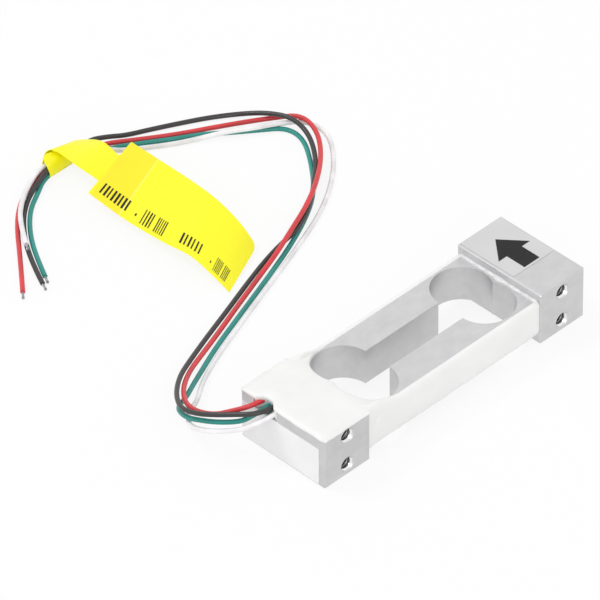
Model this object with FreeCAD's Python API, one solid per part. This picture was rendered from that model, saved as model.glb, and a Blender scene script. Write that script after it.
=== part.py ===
"""Single point load cell: a milled double-lobe spring element, its strain gauges and their coating,
four loose leads and the film tag round them.

Millimetres. X runs along the element from the lead end to the arrow end, Y across it, Z up.
The origin is at the middle of the element's underside.
"""
import FreeCAD, Part
import math
import os

Vector = FreeCAD.Vector

# Spring element
BODY_LENGTH = 70.0
BODY_WIDTH = 22.0
BODY_HEIGHT = 12.0
BLOCK_LENGTH = 12.0          # each end block, along X
STEP = 2.0                   # the beam between the blocks stands back by this, above and below
SIDE_RECESS = 1.2            # and by this on each side
LOBE_RADIUS = 6.15
LOBE_TO_BLOCK = 0.85         # from a lobe's outermost point to the block
FLEXURE = 0.6                # thinnest wall, where a gauge is bonded
SLOT_WIDTH = 6.4             # the straight slot between the lobes
EDGE_CHAMFER = 0.25
FOOT_FILLET = 0.5
COAT_RELIEF = 0.3            # the near block is this much lower, under its coating

# Tapped holes through each block, from side to side, with the one that would meet the groove blind
TAP_RADIUS = 1.5             # M3
TAP_TO_EDGE = 2.5            # from a hole's axis to the block's top or underside
TAP_COUNTERSINK = 0.22
TAP_FROM_END = 6.0
BLIND_FRONT_DEPTH = 8.0
BLIND_WALL = 0.8             # between the rear blind hole and the groove

# Groove in the near block for the leads
GROOVE_WIDTH = 6.0
GROOVE_CENTRE_Y = 4.6
GROOVE_DEPTH = 2.5           # below the relieved top

# Silicone coating
COAT_SIDE = 0.95             # over the middle of the outer walls, none at their edges
COAT_DOME = 0.6              # over the near block
COAT_ROUND = 0.35
FOOT_BEAD = 0.8              # along the foot of the far block
COAT_TAIL = 9.0              # how far it slopes from the near block out over the beam

# Strain gauges on the outer faces, over the lobes
BACKING_LENGTH = 6.0
BACKING_HEIGHT = 4.0
BACKING_THICK = 0.1
FOIL_THICK = 0.05
GRID_STRANDS = 6
GRID_PITCH = 0.4
GRID_STRAND = 0.2
GRID_LENGTH = 2.8
TAB_LENGTH = 1.0
TAB_HEIGHT = 0.9
TAB_SPACING = 1.4
GAUGE_DOT_RADIUS = 0.3
GAUGE_DOT_HEIGHT = 0.15

# Terminal board and the thin ribbons from the gauges
BOARD_LENGTH = 5.4
BOARD_THICK = 0.6
BOARD_SIDE_GAP = 0.2
BOARD_FROM_END = 3.5
PAD_LENGTH = 1.3
PAD_WIDTH = 0.9
PAD_THICK = 0.05
SMALL_PAD_WIDTH = 0.5
SMALL_PAD_PITCH = 0.9
RIBBON = 0.16
RIBBON_LANE_GAP = 0.45

# Leads
LEAD_DIAMETER = 1.0
CORE_DIAMETER = 0.5
CORE_BARE = 2.2

# Film tag: a long flag whose tail goes over the leads and round them
FILM = 0.25
FLAG_CORNER = 1.4
SLEEVE_LENGTH = 5.9
SLEEVE_END_X = -8.0
SLEEVE_FRONT_Y = 90.9
SLEEVE_WIDTH = 3.9
SLEEVE_HEIGHT = 3.6
SLEEVE_ROUND = 0.9
PRINT_THICK = 0.05

# Paper label on the end face, and the arrow sticker
LABEL_THICK = 0.1
END_LABEL_WIDTH = 20.2
END_LABEL_HEIGHT = 8.5
END_LABEL_ABOVE_BASE = 0.5
END_LABEL_SHIFT_Y = 0.6
ARROW_LABEL_LENGTH = 11.0
ARROW_LABEL_WIDTH = 14.0
ARROW_LABEL_EDGE = 0.4       # from the block's rear edge
ARROW_LENGTH = 9.65
ARROW_HEAD_LENGTH = 5.0
ARROW_HEAD_WIDTH = 8.5
ARROW_SHAFT_WIDTH = 4.1
ARROW_TIP_FROM_EDGE = 4.3

# Routes of the leads, chosen by hand, from the terminal board to the bare ends. They are drawn for an
# end face at ROUTE_FACE_X, a groove at ROUTE_GROOVE_Y and leads that leave the board at ROUTE_BOARD_Z.
# With another body they move along with these, and only heights above ROUTE_LOW_Z stretch.
ROUTE_FACE_X = -35.0
ROUTE_GROOVE_Y = 4.6
ROUTE_BOARD_Z = 10.3
ROUTE_LOW_Z = 3.6
BLACK_ROUTE = (
    (-31.5, 3.7, 10.3), (-34.4, 3.5, 10.8), (-37.6, 4.6, 10.7), (-39.3, 7.4, 10.0),
    (-41.5, 11.6, 8.7), (-42.7, 15.5, 7.4), (-42.5, 19.7, 6.1), (-39.1, 24.4, 4.7),
    (-34.0, 28.6, 3.4), (-28.4, 31.4, 2.3), (-20.9, 34.7, 1.3), (-12.1, 38.1, 0.6),
    (-4.1, 41.0, 0.5), (3.1, 43.4, 0.5), (9.0, 44.6, 0.9), (13.5, 44.6, 1.8),
    (20.1, 47.8, 1.8), (26.0, 52.6, 1.8), (31.8, 57.7, 1.3), (36.0, 63.9, 1.6),
    (36.1, 68.7, 3.0), (34.5, 74.1, 2.0), (31.8, 78.7, 0.7), (26.7, 82.5, 0.5),
    (21.3, 85.4, 0.5), (16.2, 88.0, 0.5), (11.2, 90.2, 0.6), (8.6, 91.9, 0.9),
    (4.4, 93.2, 1.8), (0.6, 92.3, 1.85), (-3.6, 92.2, 1.9), (-8.0, 92.2, 1.9),
    (-11.9, 90.8, 1.65), (-16.3, 89.3, 0.5), (-21.4, 85.0, 0.5), (-27.2, 77.4, 0.5),
    (-31.1, 69.2, 0.5),
)
RED_ROUTE = (
    (-31.5, 6.3, 10.3), (-34.3, 6.3, 10.9), (-37.0, 7.2, 10.5), (-38.8, 9.6, 9.2),
    (-40.4, 12.5, 7.5), (-41.1, 16.6, 6.2), (-40.0, 20.9, 4.9), (-36.3, 25.4, 3.6),
    (-31.3, 28.9, 2.5), (-25.5, 31.5, 1.5), (-18.5, 34.3, 0.8), (-9.5, 37.8, 0.5),
    (-1.3, 40.6, 0.7), (5.8, 42.5, 1.8), (12.2, 44.8, 2.7), (18.6, 47.4, 2.9),
    (25.5, 51.3, 2.8), (33.2, 57.6, 1.6), (37.5, 63.2, 2.1), (38.7, 68.9, 2.0),
    (35.7, 73.1, 0.6), (31.1, 76.2, 0.5), (25.1, 79.7, 0.5), (19.4, 82.8, 0.5),
    (14.3, 86.1, 0.5), (10.0, 88.9, 0.6), (7.2, 90.6, 0.8), (3.0, 92.2, 0.8),
    (-1.0, 93.3, 0.8), (-5.0, 93.4, 0.8), (-9.0, 93.1, 0.8), (-12.2, 92.4, 0.6),
    (-17.6, 89.8, 0.5), (-22.6, 85.4, 0.5), (-29.2, 77.4, 0.5), (-35.5, 70.1, 0.5),
)
GREEN_ROUTE = (
    (-31.5, 5.0, 10.35), (-34.4, 4.9, 10.1), (-37.6, 5.6, 9.6), (-39.1, 6.9, 8.4),
    (-41.3, 10.8, 7.2), (-42.3, 14.9, 5.9), (-42.6, 18.4, 4.7), (-40.9, 22.3, 3.6),
    (-37.0, 23.9, 2.6), (-33.3, 26.0, 1.9), (-28.6, 28.4, 1.2), (-21.3, 31.8, 0.7),
    (-13.2, 34.8, 0.5), (-5.8, 37.4, 0.5), (2.1, 40.2, 0.5), (10.3, 43.3, 0.5),
    (18.6, 47.2, 0.5), (25.0, 51.5, 0.5), (30.7, 58.0, 0.5), (35.1, 64.5, 0.5),
    (35.1, 69.4, 0.5), (30.8, 72.7, 0.5), (26.2, 76.3, 0.5), (21.9, 79.9, 0.5),
    (17.1, 82.7, 0.5), (12.8, 85.6, 0.5), (8.7, 88.1, 0.6), (6.0, 89.3, 0.8),
    (2.0, 91.0, 0.8), (-2.0, 92.1, 0.8), (-6.0, 92.2, 0.8), (-10.0, 91.35, 0.75),
    (-12.8, 89.7, 0.5), (-17.5, 87.0, 0.5), (-22.1, 82.3, 0.5), (-26.1, 76.5, 0.5),
    (-29.3, 70.4, 0.5),
)
WHITE_ROUTE = (
    (-31.5, 2.4, 10.4), (-34.4, 2.4, 10.0), (-37.6, 3.8, 9.2), (-40.1, 5.4, 8.0),
    (-42.5, 9.1, 6.7), (-43.5, 12.9, 5.3), (-43.1, 17.0, 3.9), (-39.5, 20.7, 2.6),
    (-35.5, 22.4, 1.7), (-32.0, 25.1, 1.1), (-27.8, 27.6, 0.8), (-20.8, 30.7, 0.5),
    (-12.8, 33.6, 0.5), (-4.9, 36.4, 0.5), (3.5, 39.4, 0.5), (11.8, 42.3, 0.5),
    (20.4, 45.7, 0.5), (27.8, 49.9, 0.5), (34.5, 55.4, 0.5), (39.6, 61.9, 0.5),
    (39.7, 67.6, 0.5), (34.6, 70.3, 1.5), (29.7, 72.6, 1.8), (25.1, 75.8, 1.7),
    (20.7, 79.1, 0.6), (16.0, 81.6, 0.5), (11.7, 84.5, 0.5), (7.4, 87.4, 0.6),
    (5.2, 88.6, 1.5), (2.4, 90.6, 3.1), (-1.0, 92.9, 2.95), (-5.0, 93.4, 2.0),
    (-9.0, 93.4, 1.9), (-12.8, 91.8, 2.0), (-17.4, 89.4, 1.7), (-22.4, 84.8, 1.6),
    (-26.0, 79.1, 1.6),
)
ROUTE_SHARE = 0.45           # of the shorter run beside a bend, that the bend may use

# The tag's flag, as it lies: points along its two long edges, from the leads outwards
FLAG_NEAR_EDGE = ((-8.3, 80.2, 3.3), (-8.2, 70.0, 2.4), (-8.1, 60.0, 2.7), (-8.0, 52.0, 3.5),
                  (-7.9, 46.0, 2.0), (-7.8, 41.8, 0.4))
FLAG_FAR_EDGE = ((6.3, 83.2, 5.8), (6.2, 74.5, 5.9), (6.0, 65.5, 6.0), (5.7, 58.5, 5.6),
                 (5.3, 52.0, 3.9), (5.0, 47.3, 1.0))
# The tail that arches from under the flag to the back of the sleeve
ARCH_NEAR_EDGE = ((-4.3, 79.5, 3.55), (-4.3, 84.5, 4.3), (-4.3, 89.5, 4.4), (-4.4, 92.2, 4.15),
                  (-4.5, 93.8, 3.62))
ARCH_FAR_EDGE = ((3.4, 81.0, 4.85), (3.6, 85.0, 5.3), (3.9, 88.5, 5.1), (4.1, 91.6, 4.6),
                 (4.2, 94.0, 3.7))
# Printed bars: distance along the flag, bar length, as plain marks in two groups
PRINT_BARS = ((2.2, 5.6), (9.6, 2.6), (14.0, 2.6), (19.4, 4.2), (26.2, 3.2), (31.4, 2.6))
PRINT_FROM_EDGE = 1.4
PRINT_BAR_WIDTH = 1.9

HALF_LENGTH = BODY_LENGTH / 2
HALF_WIDTH = BODY_WIDTH / 2
BLOCK_INNER_X = HALF_LENGTH - BLOCK_LENGTH
BEAM_TOP = BODY_HEIGHT - STEP
WALL_Y = HALF_WIDTH - SIDE_RECESS
LOBE_X = BLOCK_INNER_X - LOBE_TO_BLOCK - LOBE_RADIUS
LOBE_Y = WALL_Y - FLEXURE - LOBE_RADIUS
TAP_X = HALF_LENGTH - TAP_FROM_END
MID_Z = BODY_HEIGHT / 2
NEAR_TOP = BODY_HEIGHT - COAT_RELIEF
GROOVE_FLOOR = NEAR_TOP - GROOVE_DEPTH
GAUGE_SIDES = {"front": -1, "rear": 1}
GAUGE_ENDS = {"near": -1, "far": 1}
BOARD_X = -HALF_LENGTH + BOARD_FROM_END
BOARD_TOP = GROOVE_FLOOR + BOARD_THICK
CORD_SHIFT = Vector(-HALF_LENGTH - ROUTE_FACE_X, GROOVE_CENTRE_Y - ROUTE_GROOVE_Y, 0)
BOARD_LEAD_Z = BOARD_TOP + LEAD_DIAMETER / 2
ROUTE_STRETCH = (BOARD_LEAD_Z - ROUTE_LOW_Z) / (ROUTE_BOARD_Z - ROUTE_LOW_Z)
PAST = 1.0                   # how far a cutting tool runs past what it cuts


def with_the_body(points):
    """Points drawn for the plain body, moved and raised to suit the body's real sizes."""
    placed = []
    for x, y, z in points:
        if z > ROUTE_LOW_Z:
            z = ROUTE_LOW_Z + (z - ROUTE_LOW_Z) * ROUTE_STRETCH
        placed.append((x + CORD_SHIFT.x, y + CORD_SHIFT.y, z))
    return placed


ROUTES = {
    "red": with_the_body(RED_ROUTE),
    "black": with_the_body(BLACK_ROUTE),
    "green": with_the_body(GREEN_ROUTE),
    "white": with_the_body(WHITE_ROUTE),
}


def box(low, high):
    """A box from its lowest to its highest corner."""
    size = [b - a for a, b in zip(low, high)]
    return Part.makeBox(size[0], size[1], size[2], Vector(*low))


def rod(radius, start, end):
    """A round rod between two points."""
    axis = Vector(*end) - Vector(*start)
    return Part.makeCylinder(radius, axis.Length, Vector(*start), axis)


def fused(shapes):
    """One shape from several that touch, with faces that lie in one plane joined."""
    return shapes[0].multiFuse(shapes[1:]).removeSplitter()


def curve_through(points):
    """A smooth edge through points."""
    spline = Part.BSplineCurve()
    spline.interpolate([Vector(*p) for p in points])
    return spline.toShape()


def prism(points, direction):
    """A flat outline of straight edges, pushed along a direction."""
    corners = [Vector(*p) for p in points]
    return Part.Face(Part.makePolygon(corners + corners[:1])).extrude(Vector(*direction))


def end_block(sign, top):
    """One clamping block, its edges chamfered."""
    inner, outer = sign * BLOCK_INNER_X, sign * HALF_LENGTH
    low_x, high_x = min(inner, outer), max(inner, outer)
    block = box((low_x, -HALF_WIDTH, 0), (high_x, HALF_WIDTH, top))
    return block.makeChamfer(EDGE_CHAMFER, block.Edges)


def lobed_cut_out(low, high):
    """The slot with two overlapping round lobes at each end, as a solid."""
    height = high - low
    half_slot = SLOT_WIDTH / 2
    tools = [box((-LOBE_X, -half_slot, low), (LOBE_X, half_slot, high))]
    for x in (-LOBE_X, LOBE_X):
        for y in (-LOBE_Y, LOBE_Y):
            tools.append(Part.makeCylinder(LOBE_RADIUS, height, Vector(x, y, low)))
    return fused(tools)


def tapped_hole(x, z, side, depth):
    """A hole into a block from one side, countersunk, or through it where the depth is the width."""
    wide = TAP_RADIUS + TAP_COUNTERSINK
    drill = rod(TAP_RADIUS, (x, side * (HALF_WIDTH + PAST), z), (x, side * (HALF_WIDTH - depth), z))
    mouth = Vector(x, side * (HALF_WIDTH - TAP_COUNTERSINK), z)
    cone = Part.makeCone(TAP_RADIUS, wide + PAST, TAP_COUNTERSINK + PAST, mouth, Vector(0, side, 0))
    return drill.fuse(cone)


def lead_groove():
    """The channel in the near block, from the end face to the beam."""
    half = GROOVE_WIDTH / 2
    return box((-HALF_LENGTH - PAST, GROOVE_CENTRE_Y - half, GROOVE_FLOOR),
               (-BLOCK_INNER_X + PAST, GROOVE_CENTRE_Y + half, BODY_HEIGHT + PAST))


def spring_element():
    """The milled aluminium body, one piece."""
    beam = box((-BLOCK_INNER_X - PAST, -WALL_Y, STEP), (BLOCK_INNER_X + PAST, WALL_Y, BEAM_TOP))
    body = fused([beam, end_block(-1, NEAR_TOP), end_block(1, BODY_HEIGHT)])
    feet = [edge for edge in body.Edges if is_lower_foot(edge)]
    body = body.makeFillet(FOOT_FILLET, feet)
    tools = [lobed_cut_out(-PAST, BODY_HEIGHT + PAST), lead_groove()]
    rear_blind = HALF_WIDTH - GROOVE_CENTRE_Y - GROOVE_WIDTH / 2 - BLIND_WALL
    for side, blind in ((-1, BLIND_FRONT_DEPTH), (1, rear_blind)):
        tools.append(tapped_hole(-TAP_X, BODY_HEIGHT - TAP_TO_EDGE, side, blind))
        tools.append(tapped_hole(-TAP_X, TAP_TO_EDGE, side, BODY_WIDTH))
        for z in (TAP_TO_EDGE, BODY_HEIGHT - TAP_TO_EDGE):
            tools.append(tapped_hole(TAP_X, z, side, BODY_WIDTH))
    return body.cut(tools)


def is_lower_foot(edge):
    """Whether an edge is a crosswise corner between the beam's underside and a block."""
    bound = edge.BoundBox
    on_step = abs(bound.ZMin - STEP) < 1e-6 and abs(bound.ZMax - STEP) < 1e-6
    on_block = abs(abs(bound.XMin) - BLOCK_INNER_X) < 1e-6 and bound.XLength < 1e-6
    return on_step and on_block and bound.YLength > WALL_Y


def coat_top():
    """The skin's upper outline, from the end face over the near block and down to the beam."""
    back, foot = -HALF_LENGTH, -BLOCK_INNER_X
    fall = NEAR_TOP + 0.7 * COAT_DOME - BEAM_TOP
    points = [(back, NEAR_TOP),
              (back + 0.25, NEAR_TOP + 0.4 * COAT_DOME),
              (back + 1.2, NEAR_TOP + 0.78 * COAT_DOME),
              (back + 0.45 * BLOCK_LENGTH, NEAR_TOP + COAT_DOME),
              (foot - 0.2 * BLOCK_LENGTH, NEAR_TOP + 0.93 * COAT_DOME)]
    for along, share in ((0.06, 1.0), (0.32, 0.57), (0.62, 0.33), (0.82, 0.14), (1.0, 0.0)):
        points.append((foot + along * COAT_TAIL, BEAM_TOP + share * fall))
    return curve_through([(x, 0, z) for x, z in points])


def across(outline):
    """A solid of the body's width from an outline in the lengthwise plane."""
    solid = Part.Face(Part.Wire(outline)).extrude(Vector(0, BODY_WIDTH, 0))
    return solid.translated(Vector(0, -HALF_WIDTH, 0))


def coat_over_block():
    """The domed skin over the near block, running down over the start of the beam."""
    back, foot = -HALF_LENGTH, -BLOCK_INNER_X
    tail = foot + COAT_TAIL
    base = NEAR_TOP - EDGE_CHAMFER
    rest = Part.makePolygon([Vector(tail, 0, BEAM_TOP), Vector(foot, 0, BEAM_TOP),
                             Vector(foot, 0, base), Vector(back, 0, base), Vector(back, 0, NEAR_TOP)])
    skin = across([coat_top()] + rest.Edges)
    skin = skin.makeFillet(COAT_ROUND, [edge for edge in skin.Edges if is_skin_side(edge)])
    for side in (-1, 1):
        low_y = min(side * WALL_Y, side * (HALF_WIDTH + PAST))
        high_y = max(side * WALL_Y, side * (HALF_WIDTH + PAST))
        skin = skin.cut(box((foot, low_y, 0), (tail + PAST, high_y, BODY_HEIGHT + PAST)))
    return skin


def is_skin_side(edge):
    """Whether an edge is one of the two long upper edges of the skin over the block."""
    bound = edge.BoundBox
    return bound.XLength > BLOCK_LENGTH + COAT_TAIL / 2 and bound.ZMax > NEAR_TOP + COAT_DOME / 2


def groove_filling():
    """The coating that fills the groove round the leads."""
    half = GROOVE_WIDTH / 2
    return box((-HALF_LENGTH, GROOVE_CENTRE_Y - half, GROOVE_FLOOR),
               (-BLOCK_INNER_X, GROOVE_CENTRE_Y + half, NEAR_TOP))


def side_section(x, side, raised):
    """The outline across one side layer: a low dome, or one that goes on up to the skin."""
    top = NEAR_TOP + 0.6 * COAT_DOME if raised else BEAM_TOP
    dome = [(0, STEP), (0.62, STEP + 0.35), (0.95, STEP + 1.1), (1, MID_Z)]
    if raised:
        dome += [(1, BEAM_TOP - 0.6), (0.86, BEAM_TOP + 0.8), (0, top)]
    else:
        dome += [(0.95, BEAM_TOP - 1.1), (0.62, BEAM_TOP - 0.35), (0, top)]
    curve = curve_through([(x, side * (WALL_Y + share * COAT_SIDE), z) for share, z in dome])
    inner = side * (WALL_Y - PAST / 2)
    back = Part.makePolygon([Vector(x, side * WALL_Y, top), Vector(x, inner, top),
                             Vector(x, inner, STEP), Vector(x, side * WALL_Y, STEP)])
    return Part.Wire([curve] + back.Edges)


def side_coat(side):
    """The layer over one outer wall, raised at the near block to run into the skin there."""
    foot = -BLOCK_INNER_X
    tail = foot + COAT_TAIL
    stations = ((foot, True), (foot + 0.25 * COAT_TAIL, True), (tail, False), (BLOCK_INNER_X, False))
    sections = [side_section(x, side, raised) for x, raised in stations]
    layer = Part.makeLoft(sections, True, True)
    high = BODY_HEIGHT + 2 * PAST
    over = Part.makePolygon([Vector(tail, 0, BEAM_TOP), Vector(tail, 0, high),
                             Vector(-HALF_LENGTH, 0, high), Vector(-HALF_LENGTH, 0, NEAR_TOP)])
    return layer.cut(across([coat_top()] + over.Edges))


def foot_bead():
    """The bead along the foot of the far block, hollow outside."""
    x, z = BLOCK_INNER_X, BEAM_TOP
    reach = WALL_Y + 0.4 * COAT_SIDE
    bead = box((x - FOOT_BEAD, -reach, z - PAST / 2), (x, reach, z + FOOT_BEAD))
    hollow = rod(FOOT_BEAD, (x - FOOT_BEAD, -BODY_WIDTH, z + FOOT_BEAD),
                 (x - FOOT_BEAD, BODY_WIDTH, z + FOOT_BEAD))
    return bead.cut(hollow)


def silicone_coating(metal, covered):
    """The continuous white coating, hollow where the metal and the covered pieces are."""
    raw = [coat_over_block(), groove_filling(), foot_bead(), side_coat(-1), side_coat(1)]
    coating = raw[0].multiFuse(raw[1:])
    opening = lobed_cut_out(-PAST, BODY_HEIGHT + 2 * PAST)
    return coating.cut([metal, opening] + covered)


def gauge_point(end, side, along, out, up):
    """A point on a gauge: along X from its centre, out from the wall, up from mid-height."""
    return (end * LOBE_X + along, side * (WALL_Y + out), MID_Z + up)


def gauge_slab(end, side, along, out, up):
    """A thin slab on a gauge, from three pairs of limits."""
    a = gauge_point(end, side, along[0], out[0], up[0])
    b = gauge_point(end, side, along[1], out[1], up[1])
    return box([min(p) for p in zip(a, b)], [max(p) for p in zip(a, b)])


def gauge_backing(end, side):
    """The film that carries a gauge, bonded to the wall."""
    grid_half = GRID_LENGTH / 2
    start = grid_half - BACKING_LENGTH + 0.9
    return gauge_slab(end, side, (start, start + BACKING_LENGTH), (0, BACKING_THICK),
                      (-BACKING_HEIGHT / 2, BACKING_HEIGHT / 2))


def gauge_grid(end, side):
    """The foil: strands to and fro, joined at alternate ends, with two solder tabs."""
    out = (BACKING_THICK, BACKING_THICK + FOIL_THICK)
    half, reach = GRID_STRAND / 2, GRID_LENGTH / 2
    first = -(GRID_STRANDS - 1) / 2 * GRID_PITCH
    pieces = []
    for i in range(GRID_STRANDS):
        up = first + i * GRID_PITCH
        pieces.append(gauge_slab(end, side, (-reach, reach), out, (up - half, up + half)))
    for i in range(GRID_STRANDS - 1):
        up = first + i * GRID_PITCH
        loop = (reach - GRID_STRAND, reach) if i % 2 == 0 else (-reach, -reach + GRID_STRAND)
        pieces.append(gauge_slab(end, side, loop, out, (up - half, up + GRID_PITCH + half)))
    for sign in (-1, 1):
        up = sign * TAB_SPACING / 2
        strand_up = sign * (GRID_STRANDS - 1) / 2 * GRID_PITCH
        tab = (-reach - GRID_STRAND - TAB_LENGTH, -reach - GRID_STRAND)
        pieces.append(gauge_slab(end, side, tab, out, (up - TAB_HEIGHT / 2, up + TAB_HEIGHT / 2)))
        neck = (-reach - GRID_STRAND - TAB_LENGTH / 2, -reach)
        pieces.append(gauge_slab(end, side, neck, out, (strand_up - half, strand_up + half)))
    return fused(pieces)


def tab_centre(end, side, sign, out):
    """The middle of one solder tab of a gauge."""
    along = -GRID_LENGTH / 2 - GRID_STRAND - TAB_LENGTH / 2
    return gauge_point(end, side, along, out, sign * TAB_SPACING / 2)


def gauge_solder():
    """A solder dot on each tab of each gauge."""
    low = BACKING_THICK + FOIL_THICK
    dots = []
    for side in GAUGE_SIDES.values():
        for end in GAUGE_ENDS.values():
            for sign in (-1, 1):
                dots.append(rod(GAUGE_DOT_RADIUS, tab_centre(end, side, sign, low),
                                tab_centre(end, side, sign, low + GAUGE_DOT_HEIGHT)))
    return dots


def ribbon_run(start, end):
    """One straight length of square ribbon along an axis, grown by half its width at both ends."""
    half = RIBBON / 2
    low = [min(a, b) - half for a, b in zip(start, end)]
    high = [max(a, b) + half for a, b in zip(start, end)]
    return box(low, high)


def ribbon(points):
    """A ribbon through points, each next to the last along one axis."""
    return fused([ribbon_run(a, b) for a, b in zip(points, points[1:])])


def small_pad_y(side, index):
    """Where a ribbon meets the terminal board, across the groove."""
    return GROOVE_CENTRE_Y + side * (2.5 - index) * SMALL_PAD_PITCH


def bridge_ribbons(side):
    """The ribbons of one side: three to the terminal board and one between its two gauges."""
    dot_out = BACKING_THICK + FOIL_THICK + RIBBON / 2
    high_lane = MID_Z + BACKING_HEIGHT / 2 + RIBBON_LANE_GAP
    cross_x = -BLOCK_INNER_X + RIBBON_LANE_GAP
    inside = side * (WALL_Y - RIBBON_LANE_GAP)
    pad_x = BOARD_X + BOARD_LENGTH - PAD_LENGTH
    pad_top = BOARD_TOP + PAD_THICK + RIBBON / 2
    ribbons = []
    for index, (end, sign) in enumerate(((-1, -1), (-1, 1), (1, 1))):
        x, y, z = tab_centre(end, side, sign, dot_out)
        rise_x = cross_x + (2 - index) * RIBBON_LANE_GAP
        height = BEAM_TOP + 2 * RIBBON * (1 + index)
        pad_y = small_pad_y(side, index)
        down_x = BOARD_X + BOARD_LENGTH - (1 + index) * PAD_LENGTH / 4
        points = [(x, y, z)]
        if end > 0:
            leave = x - TAB_LENGTH
            points += [(leave, y, z), (leave, y, high_lane), (rise_x, y, high_lane)]
        else:
            points += [(rise_x, y, z)]
        points += [(rise_x, y, height), (rise_x, inside, height)]
        if index < 2:
            points += [(cross_x, inside, height)]
        points += [(cross_x, pad_y, height), (down_x, pad_y, height), (down_x, pad_y, pad_top),
                   (pad_x, pad_y, pad_top)]
        ribbons.append(ribbon(points))
    start = tab_centre(1, side, -1, dot_out)
    finish = tab_centre(-1, side, -1, dot_out)
    leave = start[0] - TAB_LENGTH
    low_lane = MID_Z - BACKING_HEIGHT / 2 - RIBBON_LANE_GAP
    ribbons.append(ribbon([start, (leave, start[1], start[2]), (leave, start[1], low_lane),
                           (finish[0], start[1], low_lane), finish]))
    return ribbons


def terminal_board():
    """The small board in the groove that joins the ribbons to the leads."""
    half = GROOVE_WIDTH / 2 - BOARD_SIDE_GAP
    return box((BOARD_X, GROOVE_CENTRE_Y - half, GROOVE_FLOOR),
               (BOARD_X + BOARD_LENGTH, GROOVE_CENTRE_Y + half, BOARD_TOP))


def board_pads():
    """Copper pads: four for the leads, six for the ribbons."""
    pads = []
    for route in ROUTES.values():
        y = route[0][1]
        pads.append(box((BOARD_X, y - PAD_WIDTH / 2, BOARD_TOP),
                        (BOARD_X + PAD_LENGTH, y + PAD_WIDTH / 2, BOARD_TOP + PAD_THICK)))
    end = BOARD_X + BOARD_LENGTH
    for side in GAUGE_SIDES.values():
        for index in range(3):
            y = small_pad_y(side, index)
            pads.append(box((end - PAD_LENGTH, y - SMALL_PAD_WIDTH / 2, BOARD_TOP),
                            (end, y + SMALL_PAD_WIDTH / 2, BOARD_TOP + PAD_THICK)))
    return pads


def board_solder():
    """A solder joint at the board end of each lead."""
    joints = []
    floor = BOARD_TOP + PAD_THICK
    for route in ROUTES.values():
        x, y, z = route[0]
        joint = Part.makeCone(LEAD_DIAMETER * 0.42, LEAD_DIAMETER * 0.2, PAD_LENGTH * 0.8,
                              Vector(x, y, z), Vector(1, 0, 0))
        skirt = box((x, y - PAD_WIDTH * 0.4, floor), (x + PAD_LENGTH * 0.8, y + PAD_WIDTH * 0.4, z))
        keep = box((x, y - PAD_WIDTH, floor), (x + PAD_LENGTH, y + PAD_WIDTH, z + LEAD_DIAMETER))
        joints.append(fused([joint, skirt]).common(keep))
    return joints


def bend(before, corner, after):
    """The arc that rounds one corner of a route, as start, middle, end and radius."""
    to_before = before - corner
    to_after = after - corner
    cut = ROUTE_SHARE * min(to_before.Length, to_after.Length)
    a = Vector(to_before).normalize()
    b = Vector(to_after).normalize()
    turn = math.pi - a.getAngle(b)
    radius = cut / math.tan(turn / 2)
    inward = (a + b).normalize()
    centre = corner + inward * (radius / math.cos(turn / 2))
    return corner + a * cut, centre - inward * radius, corner + b * cut, radius


def lead_path(route):
    """Straight runs joined by tangent arcs, and the radii of the arcs."""
    points = [Vector(*p) for p in route]
    edges, radii = [], []
    here = points[0]
    for before, corner, after in zip(points, points[1:], points[2:]):
        start, middle, end, radius = bend(before, corner, after)
        edges.append(Part.LineSegment(here, start).toShape())
        edges.append(Part.Arc(start, middle, end).toShape())
        radii.append(radius)
        here = end
    edges.append(Part.LineSegment(here, points[-1]).toShape())
    return Part.Wire(edges), radii


def lead(colour, route):
    """One lead's insulation, as a round tube of constant diameter."""
    path, radii = lead_path(route)
    points = [Vector(*p) for p in route]
    radius = LEAD_DIAMETER / 2
    section = Part.Wire(Part.Circle(points[0], points[1] - points[0], radius).toShape())
    solid = path.makePipeShell([section], True, False)
    share = solid.Volume / (math.pi * radius ** 2 * path.Length)
    print("%s lead: %.1f mm long, volume over section times length %.4f, least radius %.1f mm"
          % (colour, path.Length, share, min(radii)))
    print("  radii", " ".join("%.1f" % r for r in radii))
    return solid


def bare_core(route):
    """The tinned strands that stand out of a lead's free end."""
    last, before = Vector(*route[-1]), Vector(*route[-2])
    along = (last - before).normalize()
    tip = last + along * CORE_BARE
    return rod(CORE_DIAMETER / 2, tuple(last), tuple(tip))


def film_between(first_edge, second_edge):
    """A sheet of film under two smooth edges."""
    sheet = Part.makeRuledSurface(curve_through(first_edge), curve_through(second_edge))
    return sheet.extrude(Vector(0, 0, -FILM))


def sleeve():
    """The part of the tail that goes round the leads."""
    low_y, high_y = SLEEVE_FRONT_Y, SLEEVE_FRONT_Y + SLEEVE_WIDTH
    end_x = SLEEVE_END_X + SLEEVE_LENGTH
    shapes = []
    for inset in (0, FILM):
        block = box((SLEEVE_END_X - inset, low_y + inset, inset),
                    (end_x + inset, high_y - inset, SLEEVE_HEIGHT - inset))
        long_edges = [edge for edge in block.Edges if edge.BoundBox.XLength > SLEEVE_LENGTH / 2]
        shapes.append(block.makeFillet(SLEEVE_ROUND - inset, long_edges))
    return shapes[0].cut(shapes[1])


def corner_trim(corner, along_one, along_two, radius):
    """An upright tool that rounds off a corner of a sheet, seen from above."""
    one = Vector(*along_one).normalize()
    two = Vector(*along_two).normalize()
    half = one.getAngle(two) / 2
    outward = (one + two).normalize() * -1
    centre = corner - outward * (radius / math.sin(half))
    reach = radius / math.tan(half)
    outline = (tuple(corner + outward * radius), tuple(corner + one * reach), tuple(centre),
               tuple(corner + two * reach))
    tool = prism(outline, (0, 0, BODY_HEIGHT))
    return tool.cut(Part.makeCylinder(radius, BODY_HEIGHT, centre))


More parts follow.
